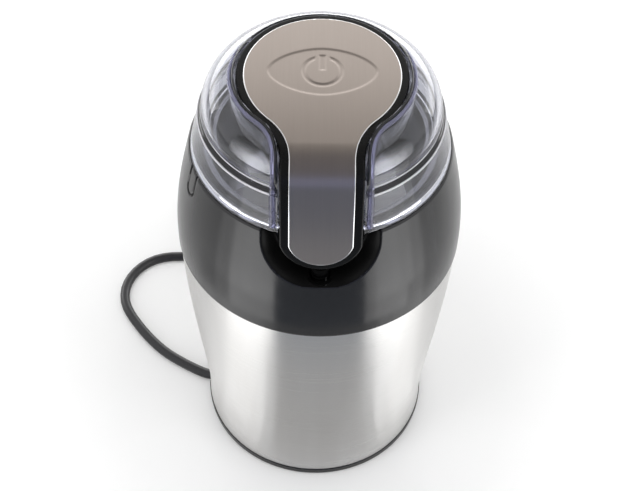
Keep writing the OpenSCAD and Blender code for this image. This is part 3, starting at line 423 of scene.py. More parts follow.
def through(points, parts):
    """More points on a smooth curve through the given ones."""
    p = np.asarray(points, float)
    padded = np.vstack([2 * p[0] - p[1], p, 2 * p[-1] - p[-2]])
    found = []
    for k in range(1, len(padded) - 2):
        a, b, c, d = padded[k - 1], padded[k], padded[k + 1], padded[k + 2]
        for i in range(parts):
            t = i / parts
            found.append(0.5 * (2 * b + (c - a) * t + (2 * a - 5 * b + 4 * c - d) * t * t
                                + (3 * b - a - 3 * c + d) * t ** 3))
    found.append(p[-1])
    return np.array(found)


def cord_curve():
    route = through(LEAD + coil_points() + TAIL, 2)
    data = bpy.data.curves.new("cord_lead", "CURVE")
    data.dimensions = "3D"
    data.bevel_depth = CORD_R * MM
    data.bevel_resolution = 6
    data.use_fill_caps = True
    spline = data.splines.new("POLY")
    spline.points.add(len(route) - 1)
    for point, place in zip(spline.points, route):
        point.co = (*(place * MM), 1)
    piece = bpy.data.objects.new("cord_lead", data)
    bpy.context.scene.collection.objects.link(piece)
    return piece, float(np.linalg.norm(np.diff(route, axis=0), axis=1).sum()) * MM


def along_x(name, sections, sides=48):
    """A solid along X: each section is (x, half width in Y, half height in Z, roundness)."""
    points = []
    for x, half_y, half_z, power in sections:
        for k in range(sides):
            a = 2 * math.pi * (k + 0.5) / sides
            c, s = math.cos(a), math.sin(a)
            y = half_y * math.copysign(abs(c) ** power, c)
            z = half_z * math.copysign(abs(s) ** power, s)
            points.append((x, y, z))
    faces = ring_faces(len(sections), sides)
    faces.append(tuple(range(sides)))
    faces.append(tuple(range((len(sections) - 1) * sides, len(sections) * sides)))
    return clean_mesh(name, points, faces)


def shift(piece, x, y, z):
    piece.data.transform(Matrix.Translation(Vector((x, y, z)) * MM))
    return piece


def relief_sections(x0, x1, r0, r1, ribs):
    """A tapered strain relief with grooves between its ribs, four sections to a rib."""
    sections = []
    for k in range(ribs * 4 + 1):
        t = k / (ribs * 4)
        radius = r0 + (r1 - r0) * t
        groove = GROOVE_DEPTH if k % 4 == 2 else 0.0
        sections.append((x0 + (x1 - x0) * t, radius - groove, radius - groove, 1.0))
    return sections


def make_cord():
    cord, length = cord_curve()
    dress(cord, "housing", MATERIALS["cord_sheath"], "cord_sheath", "power_cord", "cord_coil", "cord_tail")
    foot = [(-9, 3.2, 3.2, 1), (-18, 3.2, 3.2, 1)]
    relief = along_x("cord_relief", foot + relief_sections(-18, -35, 3.2, 2.7, 6))
    shift(soften(relief), 0, LEAD[0][1], LEAD[0][2])
    dress(relief, "housing", MATERIALS["cord_sheath"], "cord_sheath", "strain_relief")
    neck = relief_sections(0, 12, 2.6, 4.3, 4)
    body = [(12.4, 5.0, 4.6, 0.9), (15, 8, 6.1, 0.75), (20, 10.9, 6.6, 0.6), (26, 12.9, 6.7, 0.5),
            (33, 12.9, 6.7, 0.45), (38, 12.6, 6.6, 0.42), (41.6, 11.6, 6.3, 0.42), (42.8, 10.8, 5.9, 0.42),
            (43, 10.2, 5.4, 0.42)]
    plug = shift(soften(along_x("plug_shell", neck + body), 40), PLUG_X, PLUG_Y, PLUG_Z)
    dress(plug, "housing", MATERIALS["cord_sheath"], "cord_sheath", "plug_body")
    pins = []
    for side, label in ((-1, "a"), (1, "b")):
        tip = [(43.05 + 10, 1.95, 1.95, 1), (60.3, 1.95, 1.95, 1), (61.4, 1.6, 1.6, 1), (62, 0.9, 0.9, 1)]
        sleeve = [(43.02, 2.0, 2.0, 1), (53.05, 2.0, 2.0, 1)]
        metal_pin = shift(soften(along_x("plug_pin_" + label, tip, 32)), PLUG_X, PLUG_Y + side * 9.5, PLUG_Z)
        cover = shift(soften(along_x("pin_sleeve_" + label, sleeve, 32)), PLUG_X, PLUG_Y + side * 9.5, PLUG_Z)
        dress(metal_pin, "housing", MATERIALS["pin_metal"], "pin_metal")
        dress(cover, "housing", MATERIALS["cord_sheath"], "cord_sheath")
        pins += [metal_pin, cover]
    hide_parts("plug_pins")


make_cord()

# ---- Body ----

def make_sleeve():
    heights = np.linspace(SLEEVE_Z, SEAM_Z - 0.2, 90)
    outer = [(float(steel_radius(z)), z) for z in heights]
    inner = [(float(steel_radius(z)) - SLEEVE_T, z) for z in heights[::-1]]
    sleeve = lathe("steel_shell", outer + inner, 256)
    notch = clean_mesh("notch", [(x, y, z) for x in (-60, -30) for y in (-1, 4.4) for z in (0, 5.2)],
                       [(0, 1, 3, 2), (4, 6, 7, 5), (0, 4, 5, 1), (2, 3, 7, 6), (0, 2, 6, 4), (1, 5, 7, 3)])
    cut(sleeve, notch)
    dress(soften(sleeve), "housing", MATERIALS["steel_brushed"], "steel_brushed", "steel_sleeve")


def open_slot(across, z, half, corner, floor):
    """Distance to a U-shaped outline that is open at its top, negative inside."""
    q0 = np.abs(across) - (half - corner)
    q1 = floor + corner - z
    outside = np.hypot(np.maximum(q0, 0), np.maximum(q1, 0))
    return outside + np.minimum(np.maximum(q0, q1), 0) - corner


def lug_distance(angle, z):
    """Distance to the outline of the small lug at the housing's side, negative inside."""
    around = housing_radius(z) * (angle - math.radians(-69.5))
    return open_slot(around, z, 2.7, 2.7, RIM_Z - 9.8)


def outer_housing(angle, z):
    """Radius of the housing's outer face, with the front recess and the groove round the side lug."""
    radius = housing_radius(z)
    d = open_slot(radius * np.sin(angle), z, RECESS_W / 2, RECESS_CORNER, RECESS_Z)
    d = np.where(np.abs(angle) < math.radians(60), d, 9.0)
    radius = RECESS_BACK + (radius - RECESS_BACK) * smooth((d + 1.5) / 3.6)
    d = lug_distance(angle, z)
    return radius - 0.6 * smooth((0.65 - np.abs(d)) / 0.4) - 0.1 * smooth(-d)


def housing_angles():
    steps = [(-180, -81, 1.5), (-81, -65, 0.35), (-65, -30, 1.2), (-30, 30, 0.32), (30, 180, 1.5)]
    found = []
    for a, b, step in steps:
        found += list(np.linspace(a, b, int(round((b - a) / step)), endpoint=False))
    return np.radians(np.array(found))


BORE_R = 3.4


def make_housing():
    angles = housing_angles()
    rounded = 0.9
    heights = np.concatenate([np.linspace(SEAM_Z + 0.6, 125, 40), np.linspace(125.2, RIM_Z - rounded, 100)])
    columns = []
    for a in angles:
        wall = outer_housing(a, heights)
        loop = [(HOUSE_R - 0.45, SEAM_Z), (HOUSE_R - 0.15, SEAM_Z + 0.18)]
        loop += list(zip(wall, heights))
        top = float(wall[-1])
        for t in np.radians([22.5, 45, 67.5, 90]):
            loop.append((top - rounded * (1 - math.cos(t)), RIM_Z - rounded * (1 - math.sin(t))))
        edge = top - rounded
        loop += [(edge + (CUP_R + 0.3 - edge) * t, RIM_Z) for t in (0.33, 0.66, 1.0)]
        loop += [(CUP_R, RIM_Z - 0.3), (CUP_R, CUP_TOP_Z), (6.4, CUP_TOP_Z), (6.4, CUP_Z)]
        loop += [(CUP_R + CUP_T, CUP_Z), (CUP_R + CUP_T, RIM_Z - DECK_T)]
        for z in np.linspace(RIM_Z - DECK_T - 0.2, SEAM_Z + 2.2, 40):
            inner = min(float(housing_radius(z)) - HOUSE_T, float(outer_housing(a, z)) - 1.1)
            loop.append((max(inner, CUP_R + CUP_T + 0.05), z))
        loop += [(SPIGOT_R - 2, SEAM_Z + 2), (SPIGOT_R - 2, SPIGOT_Z)]
        loop += [(SPIGOT_R, SPIGOT_Z), (SPIGOT_R, SEAM_Z)]
        columns.append(loop)
    count = len(columns[0])
    points = []
    for a, loop in zip(angles, columns):
        points += [(r * math.sin(a), -r * math.cos(a), z) for r, z in loop]
    housing = clean_mesh("collar", points, ring_faces(len(columns), count, closed=True))
    bore = lathe("bore", [(0, 120), (BORE_R, 120), (BORE_R, 160), (0, 160)], 48, closed=False)
    shift(bore, 0, PLUNGER_Y, 0)
    cut(housing, bore)
    dress(soften(housing, 40), "housing", MATERIALS["black_plastic"], "black_plastic", "upper_housing")
    housing.data.materials.append(MATERIALS["recess_painted_shade"])
    housing.data.materials.append(MATERIALS["hole_painted_shade"])
    for face in housing.data.polygons:
        x, y, z = (c / MM for c in face.center)
        angle = math.atan2(x, -y)
        across = float(housing_radius(z)) * math.sin(angle)
        # Faces inside the front recess and in the groove round the side lug take the second material, a
        # darker black that paints the shade there.
        if y < -30 and z > RECESS_Z - 3 and open_slot(across, z, RECESS_W / 2, RECESS_CORNER, RECESS_Z) < 1.8:
            face.material_index = 1
        if math.hypot(x, y) > 40 and RIM_Z - 16 < z < RIM_Z - 0.5 and abs(lug_distance(angle, z)) < 0.5:
            face.material_index = 1
        # Faces round the plunger's bore take the third material, the darkest black, which paints the shade in
        # the hole.
        if math.hypot(x, y - PLUNGER_Y) < 3.6:
            face.material_index = 2


def make_pale_rib():
    """A thin upright rib on the sloping foot of the recess, paler than the black round it."""
    count = 12
    points = []
    for x in (1.75, 2.15):
        for z in np.linspace(RECESS_Z - 1.3, RECESS_Z, count):
            radius = float(outer_housing(x / 48, z))
            points += [(x, -math.sqrt((radius + rise) ** 2 - x * x), z) for rise in (-0.6, 0.4)]
    other = 2 * count
    faces = [(2 * k, 2 * k + 1, 2 * k + 3, 2 * k + 2) for k in range(count - 1)]
    faces += [tuple(i + other for i in face) for face in faces]
    for k in range(count - 1):
        for i in (2 * k, 2 * k + 1):
            faces.append((i, i + 2, i + 2 + other, i + other))
    faces += [(0, 1, other + 1, other), (other - 2, other - 1, 2 * other - 1, 2 * other - 2)]
    dress(clean_mesh("pale_rib", points, faces), "housing", MATERIALS["tie_plastic"], "black_plastic")


def make_plunger_guide():
    profile = [(2.05, 119.5), (4.4, 119.5), (4.4, 129.6), (BORE_R, 129.6), (BORE_R, 124), (2.05, 124)]
    guide = lathe("plunger_guide", profile, 64)
    shift(soften(guide), 0, PLUNGER_Y, 0)
    # The guide takes the darkest black, a painted shade.
    dress(guide, "housing", MATERIALS["hole_painted_shade"], "black_plastic")


def make_bowl():
    wall = BOWL_R - 0.5
    corner = (wall - BOWL_CORNER, BOWL_Z + BOWL_CORNER)
    arc = [(math.sin(a), -math.cos(a)) for a in np.linspace(0, math.pi / 2, 16)]
    outer = [(6.3, BOWL_Z)] + [(corner[0] + BOWL_CORNER * x, corner[1] + BOWL_CORNER * y) for x, y in arc]
    lip = [(BOWL_R, RIM_Z + 0.05), (BOWL_R + 1.2, RIM_Z + 0.05), (BOWL_R + 1.3, RIM_Z + 0.5),
           (BOWL_R + 1.25, RIM_Z + 0.9), (BOWL_R + 0.95, RIM_Z + 1.3), (BOWL_R + 0.5, RIM_Z + 1.48),
           (BOWL_R, RIM_Z + 1.45), (BOWL_R - BOWL_T + 0.2, RIM_Z + 1.2), (BOWL_R - BOWL_T, RIM_Z + 0.8)]
    inside = BOWL_CORNER - BOWL_T
    inner = [(corner[0] + inside * x, corner[1] + inside * y) for x, y in reversed(arc)]
    inner.append((6.3, BOWL_Z + BOWL_T))
    bowl = lathe("bowl_shell", outer + lip + inner, 160)
    dress(soften(bowl), "housing", MATERIALS["bowl_steel_painted_shade"], "steel_polished", "grinding_bowl")


make_sleeve()
make_housing()
make_pale_rib()
make_plunger_guide()
make_bowl()

# ---- Button: its curve from back to tip, and its outlines ----

def button_line():
    """Points (y, z) of the button's top in the plane x = 0, with the slope there, 0.3 mm apart."""
    y, z = BUTTON_BACK_Y, BUTTON_TOP_Z
    found = [(y, z, 0.0)]
    for radius, a0, a1 in ((370.0, 0.0, 8.7), (15.5, 8.7, 69.0), (133.0, 69.0, 83.0)):
        first, last = math.radians(a0), math.radians(a1)
        parts = max(int(radius * (last - first) / 0.3), 8)
        for k in range(1, parts + 1):
            a = first + (last - first) * k / parts
            back = radius * (math.sin(a) - math.sin(first))
            drop = radius * (math.cos(first) - math.cos(a))
            found.append((y - back, z - drop, a))
        y, z, _ = found[-1]
    return np.array(found)


LINE = button_line()


def half_width(y, radius, half, fillet):
    """Half width of the keyhole outline at y."""
    cx = half + fillet
    cy = -math.sqrt((radius + fillet) ** 2 - cx ** 2)
    turn = cy * radius / (radius + fillet)
    if y <= cy:
        return half
    if y < turn:
        return cx - math.sqrt(max(fillet ** 2 - (y - cy) ** 2, 0))
    return math.sqrt(max(radius ** 2 - y * y, 0))


def outline_distance(x, y, radius, half, fillet):
    """Distance from a point inside the keyhole to its outline, negative outside it."""
    x = np.abs(x)
    cx = half + fillet
    cy = -math.sqrt((radius + fillet) ** 2 - cx ** 2)
    d = np.full_like(x, radius) - np.hypot(x, y)
    if y < 0:
        beside = x * -cy < cx * -y
        d = np.where((x * cy > cx * y) | beside, np.hypot(x - cx, y - cy) - fillet, d)
    if y <= cy:
        d = half - x
    return d


def edge_distance(x, y, z, radius, half, fillet, tip):
    """As above, with the tongue's rounded tip, and never negative."""
    d = outline_distance(x, y, radius, half, fillet)
    r = half * TIP_ROUND
    if z < tip + r:
        d = np.minimum(d, r - np.hypot(x, z - tip - r))
    return np.maximum(d, 0)


def solid_faces(rows, wide):
    """Quads of a solid between two sheets of rows x wide points, which are listed one after the other."""
    size = rows * wide
    faces = []
    for k in range(rows - 1):
        for i in range(wide - 1):
            a, b = k * wide + i, k * wide + i + 1
            d, c = a + wide, b + wide
            faces.append((a, b, c, d))
            faces.append((d + size, c + size, b + size, a + size))
        for i in (0, wide - 1):
            a, b = k * wide + i, (k + 1) * wide + i
            faces.append((a, b, b + size, a + size))
    for k in (0, rows - 1):
        for i in range(wide - 1):
            a, b = k * wide + i, k * wide + i + 1
            faces.append((a, b, b + size, a + size))
    return faces


def keyhole_sheet(name, radius, half, fillet, tip, top, bottom, edge, relief, columns=96):
    """A curved solid with a keyhole outline, between depths top and bottom under the button's line."""
    r = half * TIP_ROUND
    rows = [p for p in LINE if p[0] < radius and p[1] > tip]
    first = (radius - 1e-4, float(np.interp(radius, LINE[::-1, 0], LINE[::-1, 1])), 0.0)
    extra = []
    for gap in (0.02, 0.08, 0.16):
        extra.append((radius - gap, first[1], 0.0))
    rows = [first] + extra + [p for p in rows if p[0] < radius - 0.2]
    last = float(np.interp(tip, LINE[::-1, 1], LINE[::-1, 0]))
    slope = float(np.interp(tip, LINE[::-1, 1], LINE[::-1, 2]))
    rows = [p for p in rows if p[1] > tip + 0.2]
    for gap in (0.16, 0.08, 0.02, 1e-4):
        rows.append((last, tip + gap, slope))
    share = np.linspace(-1, 1, columns + 1)
    share = np.sign(share) * (1 - (1 - np.abs(share)) ** 1.35)
    upper, lower = [], []
    for y, z, a in rows:
        w = half_width(y, radius, half, fillet)
        if z < tip + r:
            w = min(w, math.sqrt(max(r * r - (tip + r - z) ** 2, 0)))
        x = w * share
        d = edge_distance(x, y, z, radius, half, fillet, tip)
        short = np.clip(edge - d, 0, edge)
        depth = top + edge - np.sqrt(np.maximum(edge ** 2 - short ** 2, 0))
        depth = depth + relief(x, y, z)
        ny, nz = -math.sin(a), math.cos(a)
        upper += [(px, y - ny * pd, z - nz * pd) for px, pd in zip(x, depth)]
        lower += [(px, y - ny * bottom, z - nz * bottom) for px in x]
    return clean_mesh(name, upper + lower, solid_faces(len(rows), columns + 1))


HOLLOW_DEPTH, SYMBOL_DEPTH, SEAT_DEPTH = 0.22, 0.2, 0.45


def plate_relief(x, y, z):
    """Depth of the eye-shaped hollow and of the power symbol that is engraved in it."""
    across, up = np.abs(x) / EYE_LENGTH, abs(y - 1) / EYE_HEIGHT
    reach = (across ** EYE_POWER + up ** EYE_POWER) ** (1 / EYE_POWER) + 1e-6
    slope = np.hypot(across ** (EYE_POWER - 1) / EYE_LENGTH, up ** (EYE_POWER - 1) / EYE_HEIGHT)
    slope = slope * reach ** (1 - EYE_POWER) + 1e-6
    hollow = HOLLOW_DEPTH * smooth(0.45 - (reach - 1) / slope)
    above = y - 1.2
    ring = np.abs(np.hypot(x, above) - (SYMBOL_R - 0.75)) - 0.55
    ring = np.maximum(ring, np.where(above > 0, 2.4 - np.abs(x), -9))
    bar = np.maximum(np.abs(x) - 1.0, np.abs(above - SYMBOL_R / 2 - 0.3) - SYMBOL_R / 2 + 0.2)
    symbol = SYMBOL_DEPTH * smooth((0.3 - np.minimum(ring, bar)) / 0.6)
    return hollow + symbol


def frame_relief(x, y, z):
    """Depth of the frame's seat under the plate."""
    inside = edge_distance(x, y, z, PLATE_R, PLATE_HALF, PLATE_FILLET, TIP_Z)
    return SEAT_DEPTH * smooth((inside - 0.3) / 0.9)


def make_button():
    shell = keyhole_sheet("button_border", BUTTON_R, TONGUE_HALF, BUTTON_FILLET, FRAME_TIP_Z, PLATE_PROUD,
                          BUTTON_T, 0.7, frame_relief)
    dress(soften(shell, 40), "button", MATERIALS["black_satin"], "black_plastic", "button_frame")
    seat = BUTTON_TOP_Z - BUTTON_T
    profile = [(4.1, 164.4), (6.2, 164.4), (6.2, seat - 2.1), (8.8, seat - 2.1), (8.8, seat - 0.5)]
    tube = lathe("button_guide", profile + [(4.1, seat - 0.5)], 96)
    dress(soften(tube), "button", MATERIALS["black_satin"], "black_plastic")
    plate = keyhole_sheet("button_face", PLATE_R, PLATE_HALF, PLATE_FILLET, TIP_Z, 0.0, PLATE_T, 0.5,
                          plate_relief, 220)
    dress(soften(plate, 50), "button", MATERIALS["plate_steel"], "plate_steel", "button_plate")
    plate.data.materials.append(MATERIALS["plate_edge"])
    for face in plate.data.polygons:
        x, y, z = (c / MM for c in face.center)
        if edge_distance(np.array([x]), y, z, PLATE_R, PLATE_HALF, PLATE_FILLET, TIP_Z)[0] < 0.45:
            face.material_index = 1


make_button()

# ---- Lid ----

LID_BULGE, DOME_POWER, DOME_FOOT = 0.55, 0.45, 2.7


def lid_profile(inset):
    """The lid's outline from its foot to the axis, wall inset by the given thickness."""
    found = []
    for t in np.linspace(0, 1, 16):
        radius = LID_FOOT_R + (LID_BAND_R - LID_FOOT_R) * (LID_BULGE * 2 * t * (1 - t) + t * t)
        found.append((radius - inset, LID_Z + (LID_STEP_Z - inset - LID_Z) * t))
    for t in np.radians([0, 30, 60, 90]):
        found.append((LID_BAND_R - 0.5 + 0.5 * math.cos(t) - inset, LID_STEP_Z + 0.5 * math.sin(t) - inset))
    found.append((LID_DOME_R + 0.25 - inset, LID_STEP_Z + 0.5 - inset))
    found.append((LID_DOME_R + 0.05 - inset, LID_STEP_Z + 0.62 - inset))
    for a in np.linspace(0, math.pi / 2, 36):
        radius = (LID_DOME_R - inset) * max(math.cos(a), 0) ** DOME_POWER
        rise = (LID_TOP_Z - inset - LID_STEP_Z - DOME_FOOT) * math.sin(a)
        found.append((radius, LID_STEP_Z + DOME_FOOT + rise))
    found[-1] = (0.0, found[-1][1])
    return found


def line_height(y, depth, drop):
    """Height of the button's line at y, at a depth under it and lowered by drop."""
    ys = LINE[:, 0] + np.sin(LINE[:, 2]) * depth
    zs = LINE[:, 1] - np.cos(LINE[:, 2]) * depth - drop
    return float(np.interp(y, ys[::-1], zs[::-1]))


def keyhole_column(name, radius, half, fillet, depth, drop):
    """All that lies inside the keyhole outline and above the lowered line of the button."""
    ys = LINE[:, 0] + np.sin(LINE[:, 2]) * depth
    rows = [radius - g for g in (1e-3, 0.03, 0.12, 0.3, 0.6, 1.0, 1.5, 2.1, 2.8)]
    rows += [float(y) for y in ys[::2] if y < radius - 3.2]
    rows += [float(ys[-1]) - 0.01, -60.0]
    low, high = [], []
    share = np.linspace(-1, 1, 25)
    above_all = 200.0
    for y in rows:
        w = half_width(y, radius, half, fillet)
        z = line_height(y, depth, drop)
        low += [(w * s, y, z) for s in share]
        high += [(w * s, y, above_all) for s in share]
    return clean_mesh(name, low + high, solid_faces(len(rows), len(share)))


def rod(name, radius, low, high, sides=96):
    return lathe(name, [(0, low), (radius, low), (radius, high), (0, high)], sides, closed=False)


def lip_path(offset, back):
    """Points on the lid beside the well, from the foot of the front gap up to the height y = back."""
    radius, half, fillet = BUTTON_R + offset, TONGUE_HALF + offset, BUTTON_FILLET - offset
    outline = [p for p in lid_profile(0) if p[1] > LID_STEP_Z + 2]
    reach, rise = [p[0] for p in outline][::-1], [p[1] for p in outline][::-1]
    band = [(r, z) for r, z in lid_profile(0) if LID_Z + 0.9 < z < LID_STEP_Z]
    side = [(half, -math.sqrt(r * r - half * half), z) for r, z in band]
    cy = -math.sqrt((radius + fillet) ** 2 - (half + fillet) ** 2)
    start = -math.sqrt(LID_DOME_R ** 2 - half ** 2) + 0.15
    turn = cy * radius / (radius + fillet)
    for y in np.concatenate([np.linspace(start, cy, 20), np.linspace(cy, turn, 24)[1:]]):
        side.append((half_width(y, radius, half, fillet), y, 0.0))
    first, last = math.acos(side[-1][1] / radius), math.acos(back / radius)
    side += [(radius * math.sin(a), radius * math.cos(a), 0.0) for a in np.linspace(first, last, 40)[1:]]
    return np.array([(x, y, z if z else float(np.interp(math.hypot(x, y), reach, rise))) for x, y, z in side])


def lid_bar(name, path, radii, flat, material):
    """A bar that lies along a path on the lid, with its own half width at each point."""
    along = np.gradient(path, axis=0)
    along /= np.linalg.norm(along, axis=1)[:, None]
    out = path * (1, 1, 0) / np.hypot(path[:, 0], path[:, 1])[:, None] + (0, 0, 1.0)
    across = np.cross(along, out)
    across /= np.linalg.norm(across, axis=1)[:, None]
    out = np.cross(across, along)
    points = []
    for p, a, b, radius in zip(path, across, out, radii):
        for t in np.linspace(0, 2 * math.pi, 17)[:-1]:
            points.append(p + radius * (a * math.cos(t) + b * flat * math.sin(t)))
    faces = ring_faces(len(path), 16)
    faces += [tuple(range(16)), tuple(range((len(path) - 1) * 16, len(path) * 16))]
    dress(soften(clean_mesh(name, points, faces)), "lid", MATERIALS[material], "clear_plastic")


def lid_lines():
    """The well's lip, a dark line of painted shade along the well's edge, and the lines along the step, all
    open at the front gap.
    """
    for side, label in ((-1, "left"), (1, "right")):
        lip = lip_path(2.2, 15.0) * (side, 1, 1)
        low = lip[:, 2] < LID_STEP_Z + 0.5
        radii = np.where(low, 1.15, 0.72) * np.clip((15.2 - lip[:, 1]) / 12, 0.15, 1)
        lid_bar("lid_lip_" + label, lip, radii, 0.75, "clear_lip")
        # A dark line along the well's edge, a painted shade.
        dark = lip_path(1.15, BUTTON_R + 1.15)
        dark = dark[dark[:, 2] > LID_STEP_Z + 1] * (side, 1, 1)
        lid_bar("lid_well_shade_line_" + label, dark, np.full(len(dark), 0.6), 0.4, "clear_painted_shade")
    arc = np.radians(np.linspace(23, 337, 180))
    ring = np.stack([np.sin(arc), -np.cos(arc), np.zeros_like(arc)], axis=1)
    # Along the step, the outer and inner lines are frosted white painted highlights, and the groove line
    # between them is a dark sheet of painted shade.
    for label, radius, z, thick, flat, material in (
        ("outer", 40.75, 160.9, 0.36, 1.0, "frosted_painted_highlight"), ("groove", 40.0, 162.1, 0.95, 0.35, "clear_painted_shade"),
        ("inner", 39.5, 163.3, 0.3, 1.0, "frosted_painted_highlight"), ("upper", 39.4, 164.7, 0.15, 1.0, "clear_lip"),
    ):
        lid_bar("lid_step_" + label, ring * radius + (0, 0, z), np.full(len(arc), thick), flat, material)


def make_lid():
    """The outer solid less its inside; the inside keeps clear of the well's wall and of the spring cup."""
    sides = 256
    gap, wall, drop, depth = 0.5, 1.6, 3.3, BUTTON_T + 0.3
    fillet = BUTTON_FILLET - gap
    foot = LID_FOOT_R - LID_T - 1.6
    inner = [p for p in lid_profile(LID_T) if p[1] > LID_Z + 1.1]
    inside = lathe("inside", [(0, 140), (foot, 140), (foot, LID_Z + 1.0)] + inner, sides, closed=False)
    well = keyhole_column("well", BUTTON_R + gap + wall, TONGUE_HALF + gap + wall, fillet - wall,
                          depth + wall, drop)
    cut(inside, well)
    cut(inside, rod("cup", 11.1, 159.5, 172.0))
    lid = lathe("lid_shell", [(0.0, LID_Z)] + lid_profile(0), sides, closed=False)
    cut(lid, inside)
    cavity = keyhole_column("cavity", BUTTON_R + gap, TONGUE_HALF + gap, fillet, depth, drop)
    cut(lid, cavity)
    ring = lathe("ring", [(4, 161.1), (9.5, 161.1), (9.5, 190), (4, 190)], 96)
    cut(lid, ring)
    cut(lid, rod("post_top", 5, 167.6, 190))
    dress(soften(lid, 25), "lid", MATERIALS["clear_plastic"], "clear_plastic", "lid_dome")
    lid.data.materials.append(MATERIALS["clear_band"])
    for face in lid.data.polygons:
        if face.center.z / MM < LID_STEP_Z - 0.2:
            face.material_index = 1
    lid_lines()


make_lid()

# ---- Springs that the button presses together ----


def make_springs():
    """Copies of the two springs' coils."""
    # The plunger's spring takes the darkest black, a painted shade.
    for node, body, look in (
        ("button_spring", "lid", "spring_steel"), ("plunger_spring", "housing", "hole_painted_shade"),
    ):
        coil = bpy.data.objects.new(node + "_coil", nodes[node].data.copy())
        bpy.context.scene.collection.objects.link(coil)
        dress(coil, body, MATERIALS[look], "spring_steel", node)
        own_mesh(coil)


make_springs()

# ---- CAD nodes that stay ----

# The switch plunger takes the darkest black, a painted shade.
OTHER_LOOKS = {"switch_plunger": "hole_painted_shade", "grinding_blade": "blade_steel_and_painted_shade"}


def dress_nodes():
    slots = {part["node"]: part["material_slot"] for part in frame["record"]["subparts"]}
    for name, piece in nodes.items():
        material = MATERIALS[OTHER_LOOKS.get(name, slots[name])]
        if not piece.data.materials:
            piece.data.materials.append(material)
        for k in range(len(piece.data.materials)):
            piece.data.materials[k] = material


dress_nodes()

# ---- Floor, background and light ----

def make_floor():
    points = [(-2500, -2500, 0), (2500, -2500, 0), (2500, 2500, 0), (-2500, 2500, 0)]
    floor = clean_mesh("floor", points, [(0, 1, 2, 3)])
    s = Shader("floor")
    s.set(Base_Color=(0.80, 0.80, 0.80, 1), Roughness=0.45, Emission_Color=(1, 1, 1, 1))
    path = s.add("ShaderNodeLightPath")
    reach = s.add("ShaderNodeVectorMath")
    reach.operation = "LENGTH"
    s.link(s.place.outputs["Object"], reach.inputs[0])
    # The floor glows for camera rays only: 0.17 within 80 mm of the middle, rising to 0.60 at 280 mm. This
    # keeps the floor white far out and fills the outer part of the body's cast shadow with painted light, so
    # only a short contact shadow shows.
    backdrop_glow_and_fill = s.add("ShaderNodeMapRange")
    backdrop_glow_and_fill.inputs["From Min"].default_value = 0.08
    backdrop_glow_and_fill.inputs["From Max"].default_value = 0.28
    backdrop_glow_and_fill.inputs["To Min"].default_value = 0.17
    backdrop_glow_and_fill.inputs["To Max"].default_value = 0.60
    s.link(reach.outputs["Value"], backdrop_glow_and_fill.inputs["Value"])
    seen = s.math("MULTIPLY", path.outputs["Is Camera Ray"], backdrop_glow_and_fill.outputs["Result"])
    s.link(seen, s.main.inputs["Emission Strength"])
    floor.data.materials.append(s.material)


def reflected_card(name, points, colour, strength, middle=None):
    """A studio card that shows only in reflections, or one that is brightest at a given middle, fades
    out around it and shows only inside clear plastic."""
    card = clean_mesh(name, points, [tuple(range(len(points)))])
    s = Shader(name)
    s.set(Base_Color=(0.0, 0.0, 0.0, 1), Roughness=1.0, Specular_IOR_Level=0.0,
          Emission_Color=(*colour, 1), Emission_Strength=strength)
    if middle:
        away = s.add("ShaderNodeVectorMath")
        away.operation = "DISTANCE"
        away.inputs[1].default_value = Vector(middle) * MM
        s.link(s.place.outputs["Object"], away.inputs[0])
        nearness = s.math("SUBTRACT", 1.0, s.math("DIVIDE", away.outputs["Value"], KEY_REACH * MM))
        fade = s.math("POWER", s.math("MAXIMUM", nearness, 0.0), KEY_FADE)
        depth = s.add("ShaderNodeLightPath").outputs["Transmission Depth"]
        level = s.math("MULTIPLY", fade, s.math("LESS_THAN", depth, KEY_DEPTH))
        s.link(s.math("MULTIPLY", level, strength), s.main.inputs["Emission Strength"])
    card.data.materials.append(s.material)
    card.visible_camera = False
    card.visible_diffuse = False
    card.visible_shadow = False
    card.visible_glossy = middle is None
    card.visible_transmission = middle is not None


def floor_card(name, first, last, near, far, colour, strength):
    """A card on the floor between two directions, counted in degrees from the front towards +X."""
    angles = np.radians(np.linspace(first, last, 9))
    points = [(near * math.sin(a), -near * math.cos(a), 1.0) for a in angles]
    points += [(far * math.sin(a), -far * math.cos(a), 1.0) for a in angles[::-1]]
    reflected_card(name, points, colour, strength)


# NEAR, MIDDLE and FAR are rings on the floor, from one radius to another. Each card on them runs from
# one direction to another, in degrees, with its strength. Overhead cards run from one Y to another,
# front cards from one height to another and back cards from one elevation to another.
NEAR, MIDDLE, FAR = (52, 132), (132, 180), (180, 520)
LEFT_CARDS = (
    (NEAR, ((28, 36, 0.67), (36, 46, 1.05), (46, 70, 1.17), (70, 85, 0.95), (85, 100, 0.8))),
    (MIDDLE, ((29, 62, 1.9), (62, 74, 0.95), (74, 90, 0.65), (90, 105, 0.8))),
    (FAR, ((29, 52, 2.8), (52, 62, 2.5), (62, 74, 1.3), (74, 105, 0.8))),
)
RIGHT_CARDS = (
    (NEAR, ((34, 42, 0.56), (42, 54, 1.0), (54, 78, 1.17), (78, 95, 0.9))),
    (MIDDLE, ((31, 38, 1.5), (38, 62, 2.0), (62, 76, 1.3), (76, 90, 0.8))),
    (FAR, ((31, 38, 2.0), (38, 56, 2.8), (56, 66, 2.4), (66, 76, 1.7), (76, 90, 0.9))),
)
OVERHEAD = ((-60, 150, 0.24), (150, 300, 0.29), (300, 420, 0.34), (420, 500, 0.39), (500, 545, 0.46),
            (545, 595, 0.55), (595, 650, 0.66), (650, 695, 0.77), (695, 740, 0.86))
FRONT = ((1, 230, (0.62, 0.74, 1.0), 0.23), (230, 400, (0.56, 0.64, 1.0), 0.48),
         (400, 900, (0.85, 0.87, 1.0), 0.18))
KEY_AZIMUTH, KEY_ELEVATION, KEY_DISTANCE, KEY_REACH, KEY_STRENGTH = 53, -6, 600, 440, 24.0
KEY_FADE, KEY_DEPTH = 2.0, 2.5
